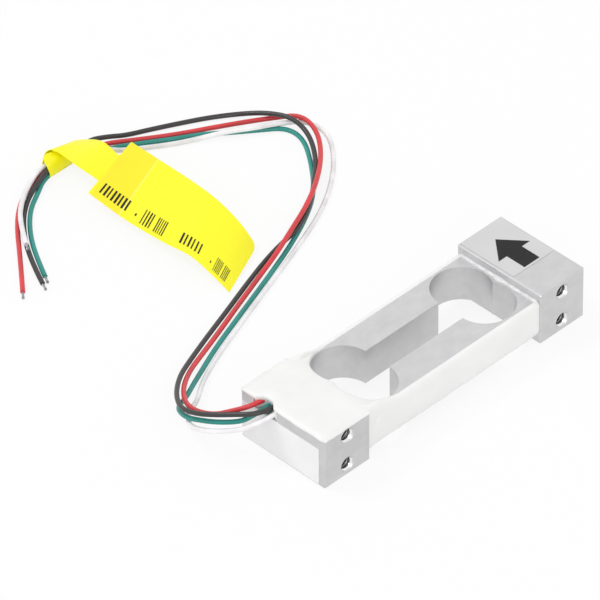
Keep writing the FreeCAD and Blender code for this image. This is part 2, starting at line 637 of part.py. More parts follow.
def wire_tag():
    """The yellow film: flag, arched tail and sleeve, one piece."""
    flag = film_between(FLAG_NEAR_EDGE, FLAG_FAR_EDGE)
    x, y, z = FLAG_FAR_EDGE[-1]
    to_near = (FLAG_NEAR_EDGE[-1][0] - x, FLAG_NEAR_EDGE[-1][1] - y, 0)
    to_leads = (FLAG_FAR_EDGE[-2][0] - x, FLAG_FAR_EDGE[-2][1] - y, 0)
    flag = flag.cut(corner_trim(Vector(x, y, -PAST), to_near, to_leads, FLAG_CORNER))
    tag = flag.multiFuse([film_between(ARCH_NEAR_EDGE, ARCH_FAR_EDGE), sleeve()])
    return tag.translated(CORD_SHIFT)


def tag_print():
    """Plain bars printed along the flag's near edge."""
    top = Part.makeRuledSurface(curve_through(FLAG_NEAR_EDGE), curve_through(FLAG_FAR_EDGE))
    layer = top.extrude(Vector(0, 0, PRINT_THICK))
    edge_x = FLAG_NEAR_EDGE[0][0] + PRINT_FROM_EDGE
    start_y = FLAG_NEAR_EDGE[0][1]
    bars = []
    for along, length in PRINT_BARS:
        bars.append(box((edge_x, start_y - along - length, 0),
                        (edge_x + PRINT_BAR_WIDTH, start_y - along, BODY_HEIGHT)))
    return [layer.common(bar).translated(CORD_SHIFT) for bar in bars]


def end_label():
    """The blank paper label on the lead end's face."""
    half = END_LABEL_WIDTH / 2
    return box((-HALF_LENGTH - LABEL_THICK, END_LABEL_SHIFT_Y - half, END_LABEL_ABOVE_BASE),
               (-HALF_LENGTH, END_LABEL_SHIFT_Y + half, END_LABEL_ABOVE_BASE + END_LABEL_HEIGHT))


def arrow_label():
    """The sticker on the far block's top."""
    x = HALF_LENGTH - BLOCK_LENGTH / 2
    high_y = HALF_WIDTH - ARROW_LABEL_EDGE
    return box((x - ARROW_LABEL_LENGTH / 2, high_y - ARROW_LABEL_WIDTH, BODY_HEIGHT),
               (x + ARROW_LABEL_LENGTH / 2, high_y, BODY_HEIGHT + LABEL_THICK))


def arrow_print():
    """The arrow on the sticker, which shows the load's direction."""
    x = HALF_LENGTH - BLOCK_LENGTH / 2
    tip = HALF_WIDTH - ARROW_TIP_FROM_EDGE
    neck, tail = tip - ARROW_HEAD_LENGTH, tip - ARROW_LENGTH
    head, shaft = ARROW_HEAD_WIDTH / 2, ARROW_SHAFT_WIDTH / 2
    z = BODY_HEIGHT + LABEL_THICK
    outline = ((x, tip, z), (x + head, neck, z), (x + shaft, neck, z), (x + shaft, tail, z),
               (x - shaft, tail, z), (x - shaft, neck, z), (x - head, neck, z))
    return prism(outline, (0, 0, PRINT_THICK))


def write(name, shapes):
    """One STEP file for a node, from one shape or a list of separate ones."""
    shape = Part.makeCompound(shapes) if isinstance(shapes, list) else shapes
    shape.exportStep("parts/%s.step" % name)
    print("%-24s solids %2d  volume %9.2f mm3" % (name, len(shape.Solids), shape.Volume))


def main():
    """Builds every piece and writes it."""
    os.makedirs("parts", exist_ok=True)
    nodes = {"spring_element": spring_element()}
    dots = gauge_solder()
    for side_name, side in GAUGE_SIDES.items():
        for end_name, end in GAUGE_ENDS.items():
            nodes["gauge_backing_%s_%s" % (side_name, end_name)] = gauge_backing(end, side)
            nodes["gauge_grid_%s_%s" % (side_name, end_name)] = gauge_grid(end, side)
        ribbons = bridge_ribbons(side)
        nodes["bridge_ribbons_%s" % side_name] = [one.cut(dots) for one in ribbons]
    nodes["gauge_solder"] = dots
    nodes["terminal_board"] = terminal_board()
    for colour, route in ROUTES.items():
        nodes["lead_%s" % colour] = lead(colour, route)
    leads = [nodes["lead_%s" % colour] for colour in ROUTES]
    nodes["board_pads"] = [pad.cut(leads) for pad in board_pads()]
    nodes["board_solder"] = [joint.cut(leads) for joint in board_solder()]
    covered = []
    for name, shapes in nodes.items():
        if name != "spring_element":
            covered += shapes if isinstance(shapes, list) else [shapes]
    nodes["silicone_coating"] = silicone_coating(nodes["spring_element"], covered)
    for colour, route in ROUTES.items():
        nodes["core_%s" % colour] = bare_core(route)
    nodes["wire_tag"] = wire_tag()
    nodes["tag_print"] = tag_print()
    nodes["end_label"] = end_label()
    nodes["arrow_label"] = arrow_label()
    nodes["arrow_print"] = arrow_print()
    for name, shapes in nodes.items():
        write(name, shapes)


main()
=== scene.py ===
"""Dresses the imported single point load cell: finishes, soft coating, loose leads, film tag and threads.

Laid out as an add-on and run as a script. Lengths are metres; values written in millimetres go through MM.
X runs along the beam from the lead end to the arrow end, Y across it and Z up, as in the frame.
"""
import math

import bmesh
import bpy
import numpy as np
from mathutils import Matrix, Vector, noise
from bpy.props import FloatProperty, FloatVectorProperty, IntProperty, PointerProperty


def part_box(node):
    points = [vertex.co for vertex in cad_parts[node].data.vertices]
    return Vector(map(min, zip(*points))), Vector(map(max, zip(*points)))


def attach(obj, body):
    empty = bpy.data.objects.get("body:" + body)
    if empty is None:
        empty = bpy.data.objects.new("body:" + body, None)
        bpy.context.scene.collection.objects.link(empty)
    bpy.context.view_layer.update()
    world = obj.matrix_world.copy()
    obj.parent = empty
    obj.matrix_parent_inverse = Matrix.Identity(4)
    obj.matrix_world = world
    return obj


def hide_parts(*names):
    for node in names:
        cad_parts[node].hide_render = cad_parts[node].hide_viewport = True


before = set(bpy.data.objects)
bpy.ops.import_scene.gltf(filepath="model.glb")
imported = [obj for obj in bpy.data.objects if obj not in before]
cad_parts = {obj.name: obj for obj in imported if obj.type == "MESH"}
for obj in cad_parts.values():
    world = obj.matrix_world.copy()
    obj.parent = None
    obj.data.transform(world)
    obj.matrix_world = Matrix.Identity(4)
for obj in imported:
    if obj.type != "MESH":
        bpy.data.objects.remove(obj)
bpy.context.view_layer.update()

bl_info = {
    "name": "Single point load cell",
    "version": (1, 0, 0),
    "blender": (4, 5, 0),
    "location": "View3D > Sidebar > Load cell",
    "description": "Dresses the load cell's frame with its finishes, coating, leads and tag",
    "category": "Object",
}

MM = 0.001

# The camera: where it looks from, what it aims at, and how much it leans
CAMERA_AZIMUTH = math.radians(-44.6015)
CAMERA_ELEVATION = math.radians(40.2539)
CAMERA_ROLL = math.radians(-0.6743)
CAMERA_DISTANCE = 1500.0 * MM
CAMERA_AIM = Vector((-4.6001, 25.8411, 6.0)) * MM
CAMERA_PIXELS_PER_RADIAN = 7889.05
PHOTO_WIDTH = 600
SENSOR_WIDTH = 36.0
# The studio: how white the floor is drawn over its shadow, and the light of the surroundings
FLOOR_WHITE = 0.86
SKY_LIGHT = 0.86

# Routes of the leads, from the terminal board to the bare ends, in millimetres
BLACK_ROUTE = (
    (-31.5, 3.7, 10.3), (-34.4, 3.5, 10.8), (-37.6, 4.6, 10.7), (-39.3, 7.4, 10.0),
    (-41.5, 11.6, 8.7), (-42.7, 15.5, 7.4), (-42.5, 19.7, 6.1), (-39.1, 24.4, 4.7),
    (-34.0, 28.6, 3.4), (-28.4, 31.4, 2.3), (-20.9, 34.7, 1.3), (-12.1, 38.1, 0.6),
    (-4.1, 41.0, 0.5), (3.1, 43.4, 0.5), (9.0, 44.6, 0.9), (13.5, 44.6, 1.8),
    (20.1, 47.8, 1.8), (26.0, 52.6, 1.8), (31.8, 57.7, 1.3), (36.0, 63.9, 1.6),
    (36.1, 68.7, 3.0), (34.5, 74.1, 2.0), (31.8, 78.7, 0.7), (26.7, 82.5, 0.5),
    (21.3, 85.4, 0.5), (16.2, 88.0, 0.5), (11.2, 90.2, 0.6), (8.6, 91.9, 0.9),
    (4.4, 93.2, 1.8), (0.6, 92.3, 1.85), (-3.6, 92.2, 1.9), (-8.0, 92.2, 1.9),
    (-11.9, 90.8, 1.65), (-16.3, 89.3, 0.5), (-21.4, 85.0, 0.5), (-27.2, 77.4, 0.5),
    (-31.1, 69.2, 0.5),
)
RED_ROUTE = (
    (-31.5, 6.3, 10.3), (-34.3, 6.3, 10.9), (-37.0, 7.2, 10.5), (-38.8, 9.6, 9.2),
    (-40.4, 12.5, 7.5), (-41.1, 16.6, 6.2), (-40.0, 20.9, 4.9), (-36.3, 25.4, 3.6),
    (-31.3, 28.9, 2.5), (-25.5, 31.5, 1.5), (-18.5, 34.3, 0.8), (-9.5, 37.8, 0.5),
    (-1.3, 40.6, 0.7), (5.8, 42.5, 1.8), (12.2, 44.8, 2.7), (18.6, 47.4, 2.9),
    (25.5, 51.3, 2.8), (33.2, 57.6, 1.6), (37.5, 63.2, 2.1), (38.7, 68.9, 2.0),
    (35.7, 73.1, 0.6), (31.1, 76.2, 0.5), (25.1, 79.7, 0.5), (19.4, 82.8, 0.5),
    (14.3, 86.1, 0.5), (10.0, 88.9, 0.6), (7.2, 90.6, 0.8), (3.0, 92.2, 0.8),
    (-1.0, 93.3, 0.8), (-5.0, 93.4, 0.8), (-9.0, 93.1, 0.8), (-12.2, 92.4, 0.6),
    (-17.6, 89.8, 0.5), (-22.6, 85.4, 0.5), (-29.2, 77.4, 0.5), (-35.5, 70.1, 0.5),
)
GREEN_ROUTE = (
    (-31.5, 5.0, 10.35), (-34.4, 4.9, 10.1), (-37.6, 5.6, 9.6), (-39.1, 6.9, 8.4),
    (-41.3, 10.8, 7.2), (-42.3, 14.9, 5.9), (-42.6, 18.4, 4.7), (-40.9, 22.3, 3.6),
    (-37.0, 23.9, 2.6), (-33.3, 26.0, 1.9), (-28.6, 28.4, 1.2), (-21.3, 31.8, 0.7),
    (-13.2, 34.8, 0.5), (-5.8, 37.4, 0.5), (2.1, 40.2, 0.5), (10.3, 43.3, 0.5),
    (18.6, 47.2, 0.5), (25.0, 51.5, 0.5), (30.7, 58.0, 0.5), (35.1, 64.5, 0.5),
    (35.1, 69.4, 0.5), (30.8, 72.7, 0.5), (26.2, 76.3, 0.5), (21.9, 79.9, 0.5),
    (17.1, 82.7, 0.5), (12.8, 85.6, 0.5), (8.7, 88.1, 0.6), (6.0, 89.3, 0.8),
    (2.0, 91.0, 0.8), (-2.0, 92.1, 0.8), (-6.0, 92.2, 0.8), (-10.0, 91.35, 0.75),
    (-12.8, 89.7, 0.5), (-17.5, 87.0, 0.5), (-22.1, 82.3, 0.5), (-26.1, 76.5, 0.5),
    (-29.3, 70.4, 0.5),
)
WHITE_ROUTE = (
    (-31.5, 2.4, 10.4), (-34.4, 2.4, 10.0), (-37.6, 3.8, 9.2), (-40.1, 5.4, 8.0),
    (-42.5, 9.1, 6.7), (-43.5, 12.9, 5.3), (-43.1, 17.0, 3.9), (-39.5, 20.7, 2.6),
    (-35.5, 22.4, 1.7), (-32.0, 25.1, 1.1), (-27.8, 27.6, 0.8), (-20.8, 30.7, 0.5),
    (-12.8, 33.6, 0.5), (-4.9, 36.4, 0.5), (3.5, 39.4, 0.5), (11.8, 42.3, 0.5),
    (20.4, 45.7, 0.5), (27.8, 49.9, 0.5), (34.5, 55.4, 0.5), (39.6, 61.9, 0.5),
    (39.7, 67.6, 0.5), (34.6, 70.3, 1.5), (29.7, 72.6, 1.8), (25.1, 75.8, 1.7),
    (20.7, 79.1, 0.6), (16.0, 81.6, 0.5), (11.7, 84.5, 0.5), (7.4, 87.4, 0.6),
    (5.2, 88.6, 1.5), (2.4, 90.6, 3.1), (-1.0, 92.9, 2.95), (-5.0, 93.4, 2.0),
    (-9.0, 93.4, 1.9), (-12.8, 91.8, 2.0), (-17.4, 89.4, 1.7), (-22.4, 84.8, 1.6),
    (-26.0, 79.1, 1.6),
)
ROUTES = {"red": RED_ROUTE, "black": BLACK_ROUTE, "green": GREEN_ROUTE, "white": WHITE_ROUTE}
# The bare strands: radians of twist in a metre, how much wider they lie at the tip, and what the bundle's
# width is divided by for the radius of their ring and of one wire
STRAND_TWIST = 1300.0
STRAND_FLARE = 0.5
STRAND_RING = 3.0
STRAND_WIRE = 6.2

# The body: half its length and width and its top from the frame, then its blocks, beam, lobes and holes
HALF_LENGTH, HALF_WIDTH, BODY_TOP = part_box("spring_element")[1]
BLOCK_LENGTH = 12.0 * MM
BLOCK_INNER = HALF_LENGTH - BLOCK_LENGTH
STEP = 2.0 * MM
BEAM_TOP = BODY_TOP - STEP
NEAR_TOP = BODY_TOP - 0.3 * MM
WALL_Y = HALF_WIDTH - 1.2 * MM
LOBE_RADIUS = 6.15 * MM
LOBE_X = BLOCK_INNER - 0.85 * MM - LOBE_RADIUS
LOBE_Y = WALL_Y - 0.6 * MM - LOBE_RADIUS
SLOT_HALF = 3.2 * MM
TAP_X = HALF_LENGTH - 6.0 * MM
TAP_RADIUS = 1.5 * MM
TAP_TO_EDGE = 2.5 * MM
# The two sides of the groove that the leads come out of
GROOVE_Y = (1.6 * MM, 7.6 * MM)
# The coating is cut this far outside the lobes and the slot
CUT_MARGIN = 0.12 * MM

# The tapped holes, from a face inwards: a cone where the tap leads in, then the threads
LEAD_IN_START = 0.17 * MM
LEAD_IN_DEPTH = 0.4 * MM
THREAD_START = 0.7 * MM
BLIND_THREAD = 7.1 * MM
# Nearer to a face than this, the metal in a hole is drawn bright as a painted highlight
PAINTED_HIGHLIGHT_DEPTH = 0.62 * MM

# The tag's flag: its two long edges, from the leads outwards, in millimetres
FLAG_NEAR = ((-8.3, 80.2, 3.3), (-8.2, 70.0, 2.4), (-8.1, 60.0, 2.7), (-8.0, 52.0, 3.5),
             (-7.9, 46.0, 2.0), (-7.8, 41.8, 0.4))
FLAG_FAR = ((6.3, 83.2, 5.8), (6.2, 74.5, 5.9), (6.0, 65.5, 6.0), (5.7, 58.5, 5.6),
            (5.3, 52.0, 3.9), (5.0, 47.3, 1.0))
# The tail, from under the flag up, over the leads and round below them
TAIL_NEAR = ((-4.35, 79.6, 3.2), (-4.8, 82.4, 4.0), (-5.1, 84.8, 4.4), (-5.1, 87.2, 4.5),
             (-4.9, 89.6, 4.45), (-4.9, 92.2, 4.55), (-5.6, 93.8, 4.7), (-6.5, 94.4, 3.75),
             (-7.2, 94.35, 1.6), (-7.6, 93.8, 0.35), (-7.9, 92.6, 0.1), (-8.1, 91.4, 0.5),
             (-8.1, 91.35, 1.7), (-8.1, 91.9, 2.75), (-7.95, 92.8, 3.4), (-7.5, 93.6, 3.8),
             (-6.7, 94.0, 4.15))
TAIL_FAR = ((3.0, 79.8, 4.8), (2.5, 82.8, 4.95), (2.8, 85.2, 5.1), (3.1, 87.4, 5.1),
            (3.2, 89.6, 4.45), (2.6, 91.5, 3.85), (1.8, 93.1, 3.3), (0.6, 94.3, 2.75),
            (-0.6, 94.4, 1.0), (-1.8, 93.6, 0.25), (-2.1, 92.4, 0.1), (-2.1, 91.4, 0.5),
            (-2.1, 91.3, 1.7), (-2.15, 91.8, 2.8), (-2.3, 92.4, 3.5), (-2.5, 92.9, 3.7),
            (-2.5, 93.4, 3.75))
# Where the film lies double, from the fold to the lap's end, as Y less a slant times X, with soft edges,
# and the width of a painted highlight line along the fold
FOLD_AT = 73.9 * MM
LAP_AT = 81.8 * MM
FOLD_SLANT = 0.26
FOLD_SOFT = 0.2 * MM
FOLD_HIGHLIGHT = 0.16 * MM
# Groups of printed strokes along the flag: start, end, number of strokes, and their two ends across it
MARKS = ((0.035, 0.190, 8, 0.10, 0.27), (0.226, 0.233, 1, 0.12, 0.16), (0.262, 0.320, 4, 0.06, 0.29),
         (0.335, 0.392, 5, 0.06, 0.29), (0.490, 0.655, 6, 0.10, 0.27), (0.728, 0.735, 1, 0.12, 0.16),
         (0.768, 0.835, 5, 0.06, 0.29), (0.850, 0.915, 4, 0.06, 0.29))

# The part of a noise's range that holds nearly all of it
NOISE_SPAN = {"From Min": 0.3, "From Max": 0.7}


def linear(code):
    """An sRGB hex colour as linear red, green, blue and alpha."""
    values = [int(code[i:i + 2], 16) / 255 for i in (1, 3, 5)]
    return [v / 12.92 if v <= 0.04045 else ((v + 0.055) / 1.055) ** 2.4 for v in values] + [1.0]


def tint(name, about, code):
    """A colour property with an sRGB hex default."""
    return FloatVectorProperty(name=name, description=about, subtype="COLOR", size=4, min=0, max=1,
                               default=linear(code))


def length(name, about, value):
    """A length property in metres, with its default in millimetres."""
    return FloatProperty(name=name, description=about, default=value * MM, min=0, unit="LENGTH",
                         precision=5)


class CellSizes(bpy.types.PropertyGroup):
    """Sizes of what is added to the frame."""
    lead_diameter: length("Lead diameter", "Outside of a lead's insulation", 1.0)
    core_diameter: length("Core diameter", "The twisted strands at a bare end", 0.5)
    core_bare: length("Bare core", "How far the strands stand out", 2.2)
    strands: IntProperty(name="Strands", description="Wires in one core", default=7, min=3, max=19)
    thread_pitch: length("Thread pitch", "One turn of the tapped holes", 0.5)
    thread_depth: length("Thread depth", "How far a thread stands into its hole", 0.27)
    film: length("Film thickness", "The tag's film", 0.12)
    coat_side: length("Side coating", "Most that the coating stands out from a wall", 0.95)
    coat_crown: length("Coating crown", "Height of the coating over the near block", 0.6)
    coat_ripple: length("Coating ripple", "Depth of its soft unevenness", 0.09)


class CellColours(bpy.types.PropertyGroup):
    """Colours of the finishes."""
    metal: tint("Aluminium", "Milled aluminium", "#d4d4d5")
    silicone: tint("Silicone", "Coating", "#f0f0ef")
    red: tint("Red lead", "Insulation", "#d4363c")
    black: tint("Black lead", "Insulation", "#312f30")
    green: tint("Green lead", "Insulation", "#1b8a80")
    white: tint("White lead", "Insulation", "#eceaec")
    film: tint("Tag film", "Glossy film", "#fff80c")
    ink: tint("Ink", "Printed marks", "#1b1b1b")
    paper: tint("Paper label", "Label on the end face", "#efefef")
    foil: tint("Arrow label", "Film under the arrow", "#d0d0d1")


def add(tree, kind, values=None, links=None):
    """Adds a node, sets its properties and inputs by name or number, and links inputs to other sockets.

    A mix of colours has its share at input 0, its two tones at 6 and 7 and its result at output 2.
    """
    node = tree.nodes.new(kind)
    for key, value in (values or {}).items():
        if isinstance(key, str) and hasattr(node, key):
            setattr(node, key, value)
        else:
            node.inputs[key].default_value = value
    for key, socket in (links or {}).items():
        tree.links.new(socket, node.inputs[key])
    return node


def surface(name, colour, roughness, metallic=0.0, extra=None):
    """A material with its shader; gives the material, its tree, the shader and object coordinates."""
    material = bpy.data.materials.new(name)
    material.use_nodes = True
    tree = material.node_tree
    tree.nodes.clear()
    values = {"Base Color": colour, "Roughness": roughness, "Metallic": metallic}
    values.update(extra or {})
    shader = add(tree, "ShaderNodeBsdfPrincipled", values)
    add(tree, "ShaderNodeOutputMaterial", links={"Surface": shader.outputs["BSDF"]})
    place = add(tree, "ShaderNodeTexCoord").outputs["Object"]
    return material, tree, shader, place


def grain(tree, place, size, detail=2.0, distortion=0.0):
    """Soft noise whose patches are this long in millimetres along X, Y and Z."""
    squeeze = [1 / (side * MM) for side in size]
    place = add(tree, "ShaderNodeMapping", {"Scale": squeeze}, {"Vector": place}).outputs["Vector"]
    values = {"Scale": 1.0, "Detail": detail, "Roughness": 0.5, "Distortion": distortion}
    return add(tree, "ShaderNodeTexNoise", values, {"Vector": place}).outputs["Fac"]


def mottle(tree, pattern, low, high):
    """A colour that drifts from one tone to another with a pattern."""
    values = {**NOISE_SPAN, "To Min": 0.0, "To Max": 1.0}
    share = add(tree, "ShaderNodeMapRange", values, {"Value": pattern}).outputs["Result"]
    return add(tree, "ShaderNodeMix", {"data_type": "RGBA", 6: low, 7: high}, {0: share}).outputs[2]


def sheen(tree, shader, pattern, low, high):
    """Roughness that follows a pattern between two limits."""
    values = {**NOISE_SPAN, "To Min": low, "To Max": high}
    rough = add(tree, "ShaderNodeMapRange", values, {"Value": pattern}).outputs["Result"]
    tree.links.new(rough, shader.inputs["Roughness"])


def relief(tree, shader, layers):
    """Patterns laid over each other as bumps, each of a real depth in millimetres."""
    links = {}
    for pattern, depth in layers:
        links["Height"] = pattern
        bump = add(tree, "ShaderNodeBump", {"Strength": 1.0, "Distance": depth * MM}, links)
        links = {"Normal": bump.outputs["Normal"]}
    tree.links.new(links["Normal"], shader.inputs["Normal"])


def shaded(colour, share):
    """A colour made darker or lighter by a share of itself."""
    return [min(1.0, c * share) for c in colour[:3]] + [1.0]


def milled_aluminium():
    """Aluminium bar milled and tumbled: satin, with fine straight tool marks and a faint cloudiness."""
    metal = list(colours().metal)
    material, tree, shader, place = surface("milled_aluminium", metal, 0.42, 1.0)
    # Tool marks about 0.16 mm apart, drawn coarse enough to show
    marks = grain(tree, place, (6.0, 0.16, 0.16), 3.0)
    cloud = grain(tree, place, (3.0, 2.2, 2.2), 3.0)
    grit = grain(tree, place, (0.16, 0.16, 0.16))
    tone = mottle(tree, cloud, shaded(metal, 0.955), shaded(metal, 1.04))
    # The marks take a share of the tone away
    worn = mottle(tree, marks, (0.94, 0.94, 0.94, 1.0), (1.0, 1.0, 1.0, 1.0))
    tone = add(tree, "ShaderNodeMix", {"data_type": "RGBA", "blend_type": "MULTIPLY", 0: 1.0},
               {6: tone, 7: worn}).outputs[2]
    tree.links.new(tone, shader.inputs["Base Color"])
    sheen(tree, shader, marks, 0.34, 0.48)
    relief(tree, shader, ((marks, 0.006), (grit, 0.004)))
    return material


def thread_metal():
    """The cut threads: the same metal painted a darker grey as shade inside the holes, with a painted
    highlight near the faces where the tap leads in.
    """
    # Painted shade: the threads are a darker grey than the body's metal, so the holes look dark inside
    metal = linear("#b9b9bb")
    material, tree, shader, place = surface("thread_cut_aluminium", metal, 0.15, 1.0)
    cloud = grain(tree, place, (0.5, 0.5, 0.5))
    tone = mottle(tree, cloud, shaded(metal, 0.85), metal)
    across = add(tree, "ShaderNodeSeparateXYZ", {}, {0: place}).outputs["Y"]
    across = add(tree, "ShaderNodeMath", {"operation": "ABSOLUTE"}, {0: across}).outputs[0]
    # Painted highlight: nearer to a face than a set depth, the metal in a hole is drawn near white
    painted_highlight = add(tree, "ShaderNodeMath", {"operation": "GREATER_THAN", 1: HALF_WIDTH - PAINTED_HIGHLIGHT_DEPTH},
                  {0: across}).outputs[0]
    tone = add(tree, "ShaderNodeMix", {"data_type": "RGBA", 7: linear("#ececed")},
               {0: painted_highlight, 6: tone}).outputs[2]
    tree.links.new(tone, shader.inputs["Base Color"])
    sheen(tree, shader, cloud, 0.1, 0.22)
    return material


def silicone_rubber():
    """Neutral white silicone sealant, brushed on: soft sheen, low waves and tiny pits."""
    white = list(colours().silicone)
    material, tree, shader, place = surface(
        "silicone_rubber", white, 0.42, 0.0,
        {"Subsurface Weight": 0.25, "Subsurface Radius": (1.0, 0.95, 0.9), "Subsurface Scale": 0.8 * MM,
         "IOR": 1.41})
    cloud = grain(tree, place, (8.0, 8.0, 8.0))
    waves = grain(tree, place, (1.8, 1.8, 1.8))
    pits = grain(tree, place, (0.25, 0.25, 0.25))
    tree.links.new(mottle(tree, cloud, shaded(white, 0.965), shaded(white, 1.01)),
                   shader.inputs["Base Color"])
    sheen(tree, shader, waves, 0.34, 0.5)
    relief(tree, shader, ((waves, 0.05), (pits, 0.006)))
    return material


def silicone_smear():
    """The same silicone wiped thin over metal, so a little greyer and uneven."""
    grey = linear("#d9d9d9")
    material, tree, shader, place = surface("silicone_smear", grey, 0.4, 0.0, {"IOR": 1.41})
    cloud = grain(tree, place, (1.5, 1.5, 1.5))
    tree.links.new(mottle(tree, cloud, shaded(grey, 0.92), linear("#ececec")), shader.inputs["Base Color"])
    relief(tree, shader, ((cloud, 0.02),))
    return material


def insulation(name, colour):
    """Extruded PVC insulation: semi-gloss, with faint draw lines and handling marks."""
    colour = list(colour)
    material, tree, shader, place = surface("pvc_insulation_" + name, colour, 0.32, 0.0, {"IOR": 1.53})
    cloud = grain(tree, place, (5.0, 5.0, 5.0), 3.0)
    fine = grain(tree, place, (0.3, 0.3, 0.3))
    tree.links.new(mottle(tree, cloud, shaded(colour, 0.86), shaded(colour, 1.14)),
                   shader.inputs["Base Color"])
    sheen(tree, shader, cloud, 0.26, 0.4)
    relief(tree, shader, ((fine, 0.008),))
    return material


def tinned_copper():
    """Hot-tinned copper: a soft silver grey with small brighter patches."""
    material, tree, shader, place = surface("tinned_copper", linear("#b3b4b7"), 0.3, 1.0)
    cloud = grain(tree, place, (0.4, 0.4, 0.4))
    tree.links.new(mottle(tree, cloud, linear("#9fa0a3"), linear("#c9cacc")), shader.inputs["Base Color"])
    relief(tree, shader, ((cloud, 0.01),))
    return material


def tag_film():
    """Vinyl film: glossy yellow and a little soft to light, with shallow handling creases.

    It is a shade deeper where it lies double, and has a painted highlight along the fold.
    """
    yellow = list(colours().film)
    material, tree, shader, place = surface(
        "vinyl_film", yellow, 0.30, 0.0,
        {"IOR": 1.52, "Subsurface Weight": 0.12, "Subsurface Radius": (1.0, 0.9, 0.2),
         "Subsurface Scale": 0.6 * MM})
    cloud = grain(tree, place, (9.0, 9.0, 9.0))
    crease = grain(tree, place, (9.0, 4.0, 4.0), 2.0, 0.3)
    fine = grain(tree, place, (0.5, 0.5, 0.5))
    tone = mottle(tree, cloud, shaded(yellow, 0.97), yellow)
    parts = add(tree, "ShaderNodeSeparateXYZ", {}, {0: place}).outputs
    along_flag = add(tree, "ShaderNodeMath", {"operation": "MULTIPLY_ADD", 1: -FOLD_SLANT},
                     {0: parts["X"], 2: parts["Y"]}).outputs[0]
    edges = []
    for at, before, after in ((FOLD_AT, 0.0, 1.0), (LAP_AT, 1.0, 0.0)):
        values = {"From Min": at - FOLD_SOFT, "From Max": at + FOLD_SOFT, "To Min": before, "To Max": after}
        edges.append(add(tree, "ShaderNodeMapRange", values, {"Value": along_flag}).outputs["Result"])
    double = add(tree, "ShaderNodeMath", {"operation": "MULTIPLY"}, {0: edges[0], 1: edges[1]}).outputs[0]
    deeper = add(tree, "ShaderNodeMix",
                 {"data_type": "RGBA", 6: (1.0, 1.0, 1.0, 1.0), 7: (0.95, 0.88, 0.9, 1.0)},
                 {0: double}).outputs[2]
    tone = add(tree, "ShaderNodeMix", {"data_type": "RGBA", "blend_type": "MULTIPLY", 0: 1.0},
               {6: tone, 7: deeper}).outputs[2]
    # Painted highlight: a pale line along the fold
    fold = add(tree, "ShaderNodeMath", {"operation": "COMPARE", 1: FOLD_AT, 2: FOLD_HIGHLIGHT},
               {0: along_flag}).outputs[0]
    fold = add(tree, "ShaderNodeMath", {"operation": "MULTIPLY", 1: 0.3}, {0: fold}).outputs[0]
    tone = add(tree, "ShaderNodeMix", {"data_type": "RGBA", 7: linear("#ffffb0")},
               {0: fold, 6: tone}).outputs[2]
    tree.links.new(tone, shader.inputs["Base Color"])
    sheen(tree, shader, crease, 0.24, 0.38)
    relief(tree, shader, ((crease, 0.025), (fine, 0.004)))
    return material


def printed_ink():
    """Flat black ink, slightly uneven in density."""
    ink = list(colours().ink)
    material, tree, shader, place = surface("printed_ink", ink, 0.6, 0.0, {"Specular IOR Level": 0.3})
    cloud = grain(tree, place, (0.5, 0.5, 0.5), 3.0)
    tree.links.new(mottle(tree, cloud, shaded(ink, 0.8), shaded(ink, 1.5)), shader.inputs["Base Color"])
    return material


def coated_paper(name, colour):
    """Coated label paper: plain, with a faint fibre texture."""
    colour = list(colour)
    material, tree, shader, place = surface(name, colour, 0.48)
    fibre = grain(tree, place, (0.35, 0.35, 0.12), 3.0)
    cloud = grain(tree, place, (6.0, 6.0, 6.0))
    tree.links.new(mottle(tree, cloud, shaded(colour, 0.97), shaded(colour, 1.02)),
                   shader.inputs["Base Color"])
    relief(tree, shader, ((fibre, 0.006),))
    return material


def small_part(name, low, high, roughness, metallic, size):
    """A finish for a small inner piece: two close tones in patches of a real size, and a fine relief."""
    material, tree, shader, place = surface(name, linear(low), roughness, metallic)
    cloud = grain(tree, place, (size, size, size))
    tree.links.new(mottle(tree, cloud, linear(low), linear(high)), shader.inputs["Base Color"])
    relief(tree, shader, ((cloud, 0.01),))
    return material


def sizes():
    """The add-on's sizes."""
    return bpy.context.scene.cell_sizes


def colours():
    """The add-on's colours."""
    return bpy.context.scene.cell_colours


def keep(obj, material, replaced=()):
    """Gives a finished piece its material, parents it to the root body, and hides the CAD nodes that it
    stands in for.
    """
    obj.data.materials.clear()
    obj.data.materials.append(material)
    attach(obj, "root")
    if replaced:
        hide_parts(*replaced)
    return obj


def link(name, data):
    """A new object at the origin."""
    obj = bpy.data.objects.new(name, data)
    bpy.context.scene.collection.objects.link(obj)
    return obj


def baked(obj):
    """The object's mesh with its modifiers applied, in place of its own; stops if nothing is left."""
    bpy.context.view_layer.update()
    made = obj.evaluated_get(bpy.context.evaluated_depsgraph_get())
    mesh = bpy.data.meshes.new_from_object(made)
    if not mesh.polygons:
        raise RuntimeError(obj.name + " came out empty")
    mesh.name = obj.name
    obj.modifiers.clear()
    obj.data = mesh
    return obj


def smooth(obj, angle=None):
    """Shades a mesh smooth, and keeps creases sharper than an angle where one is given."""
    obj.data.shade_smooth()
    if angle is not None:
        obj.data.set_sharp_from_angle(angle=math.radians(angle))
    return obj


def solid(name, layers):
    """A mesh of closed solids, each given as its vertices and faces, with every face turned outwards."""
    builder = bmesh.new()
    for vertices, faces in layers:
        made = [builder.verts.new(v) for v in vertices]
        for face in faces:
            builder.faces.new([made[i] for i in face])
    bmesh.ops.recalc_face_normals(builder, faces=builder.faces)
    mesh = bpy.data.meshes.new(name)
    builder.to_mesh(mesh)
    builder.free()
    return mesh


def new_tree(name, inputs):
    """A Geometry Nodes tree with named inputs; gives the tree and the sockets of those inputs."""
    tree = bpy.data.node_groups.new(name, "GeometryNodeTree")
    tree.interface.new_socket("Geometry", in_out="OUTPUT", socket_type="NodeSocketGeometry")
    for label, kind in inputs:
        tree.interface.new_socket(label, in_out="INPUT", socket_type="NodeSocket" + kind)
    return tree, add(tree, "NodeGroupInput").outputs


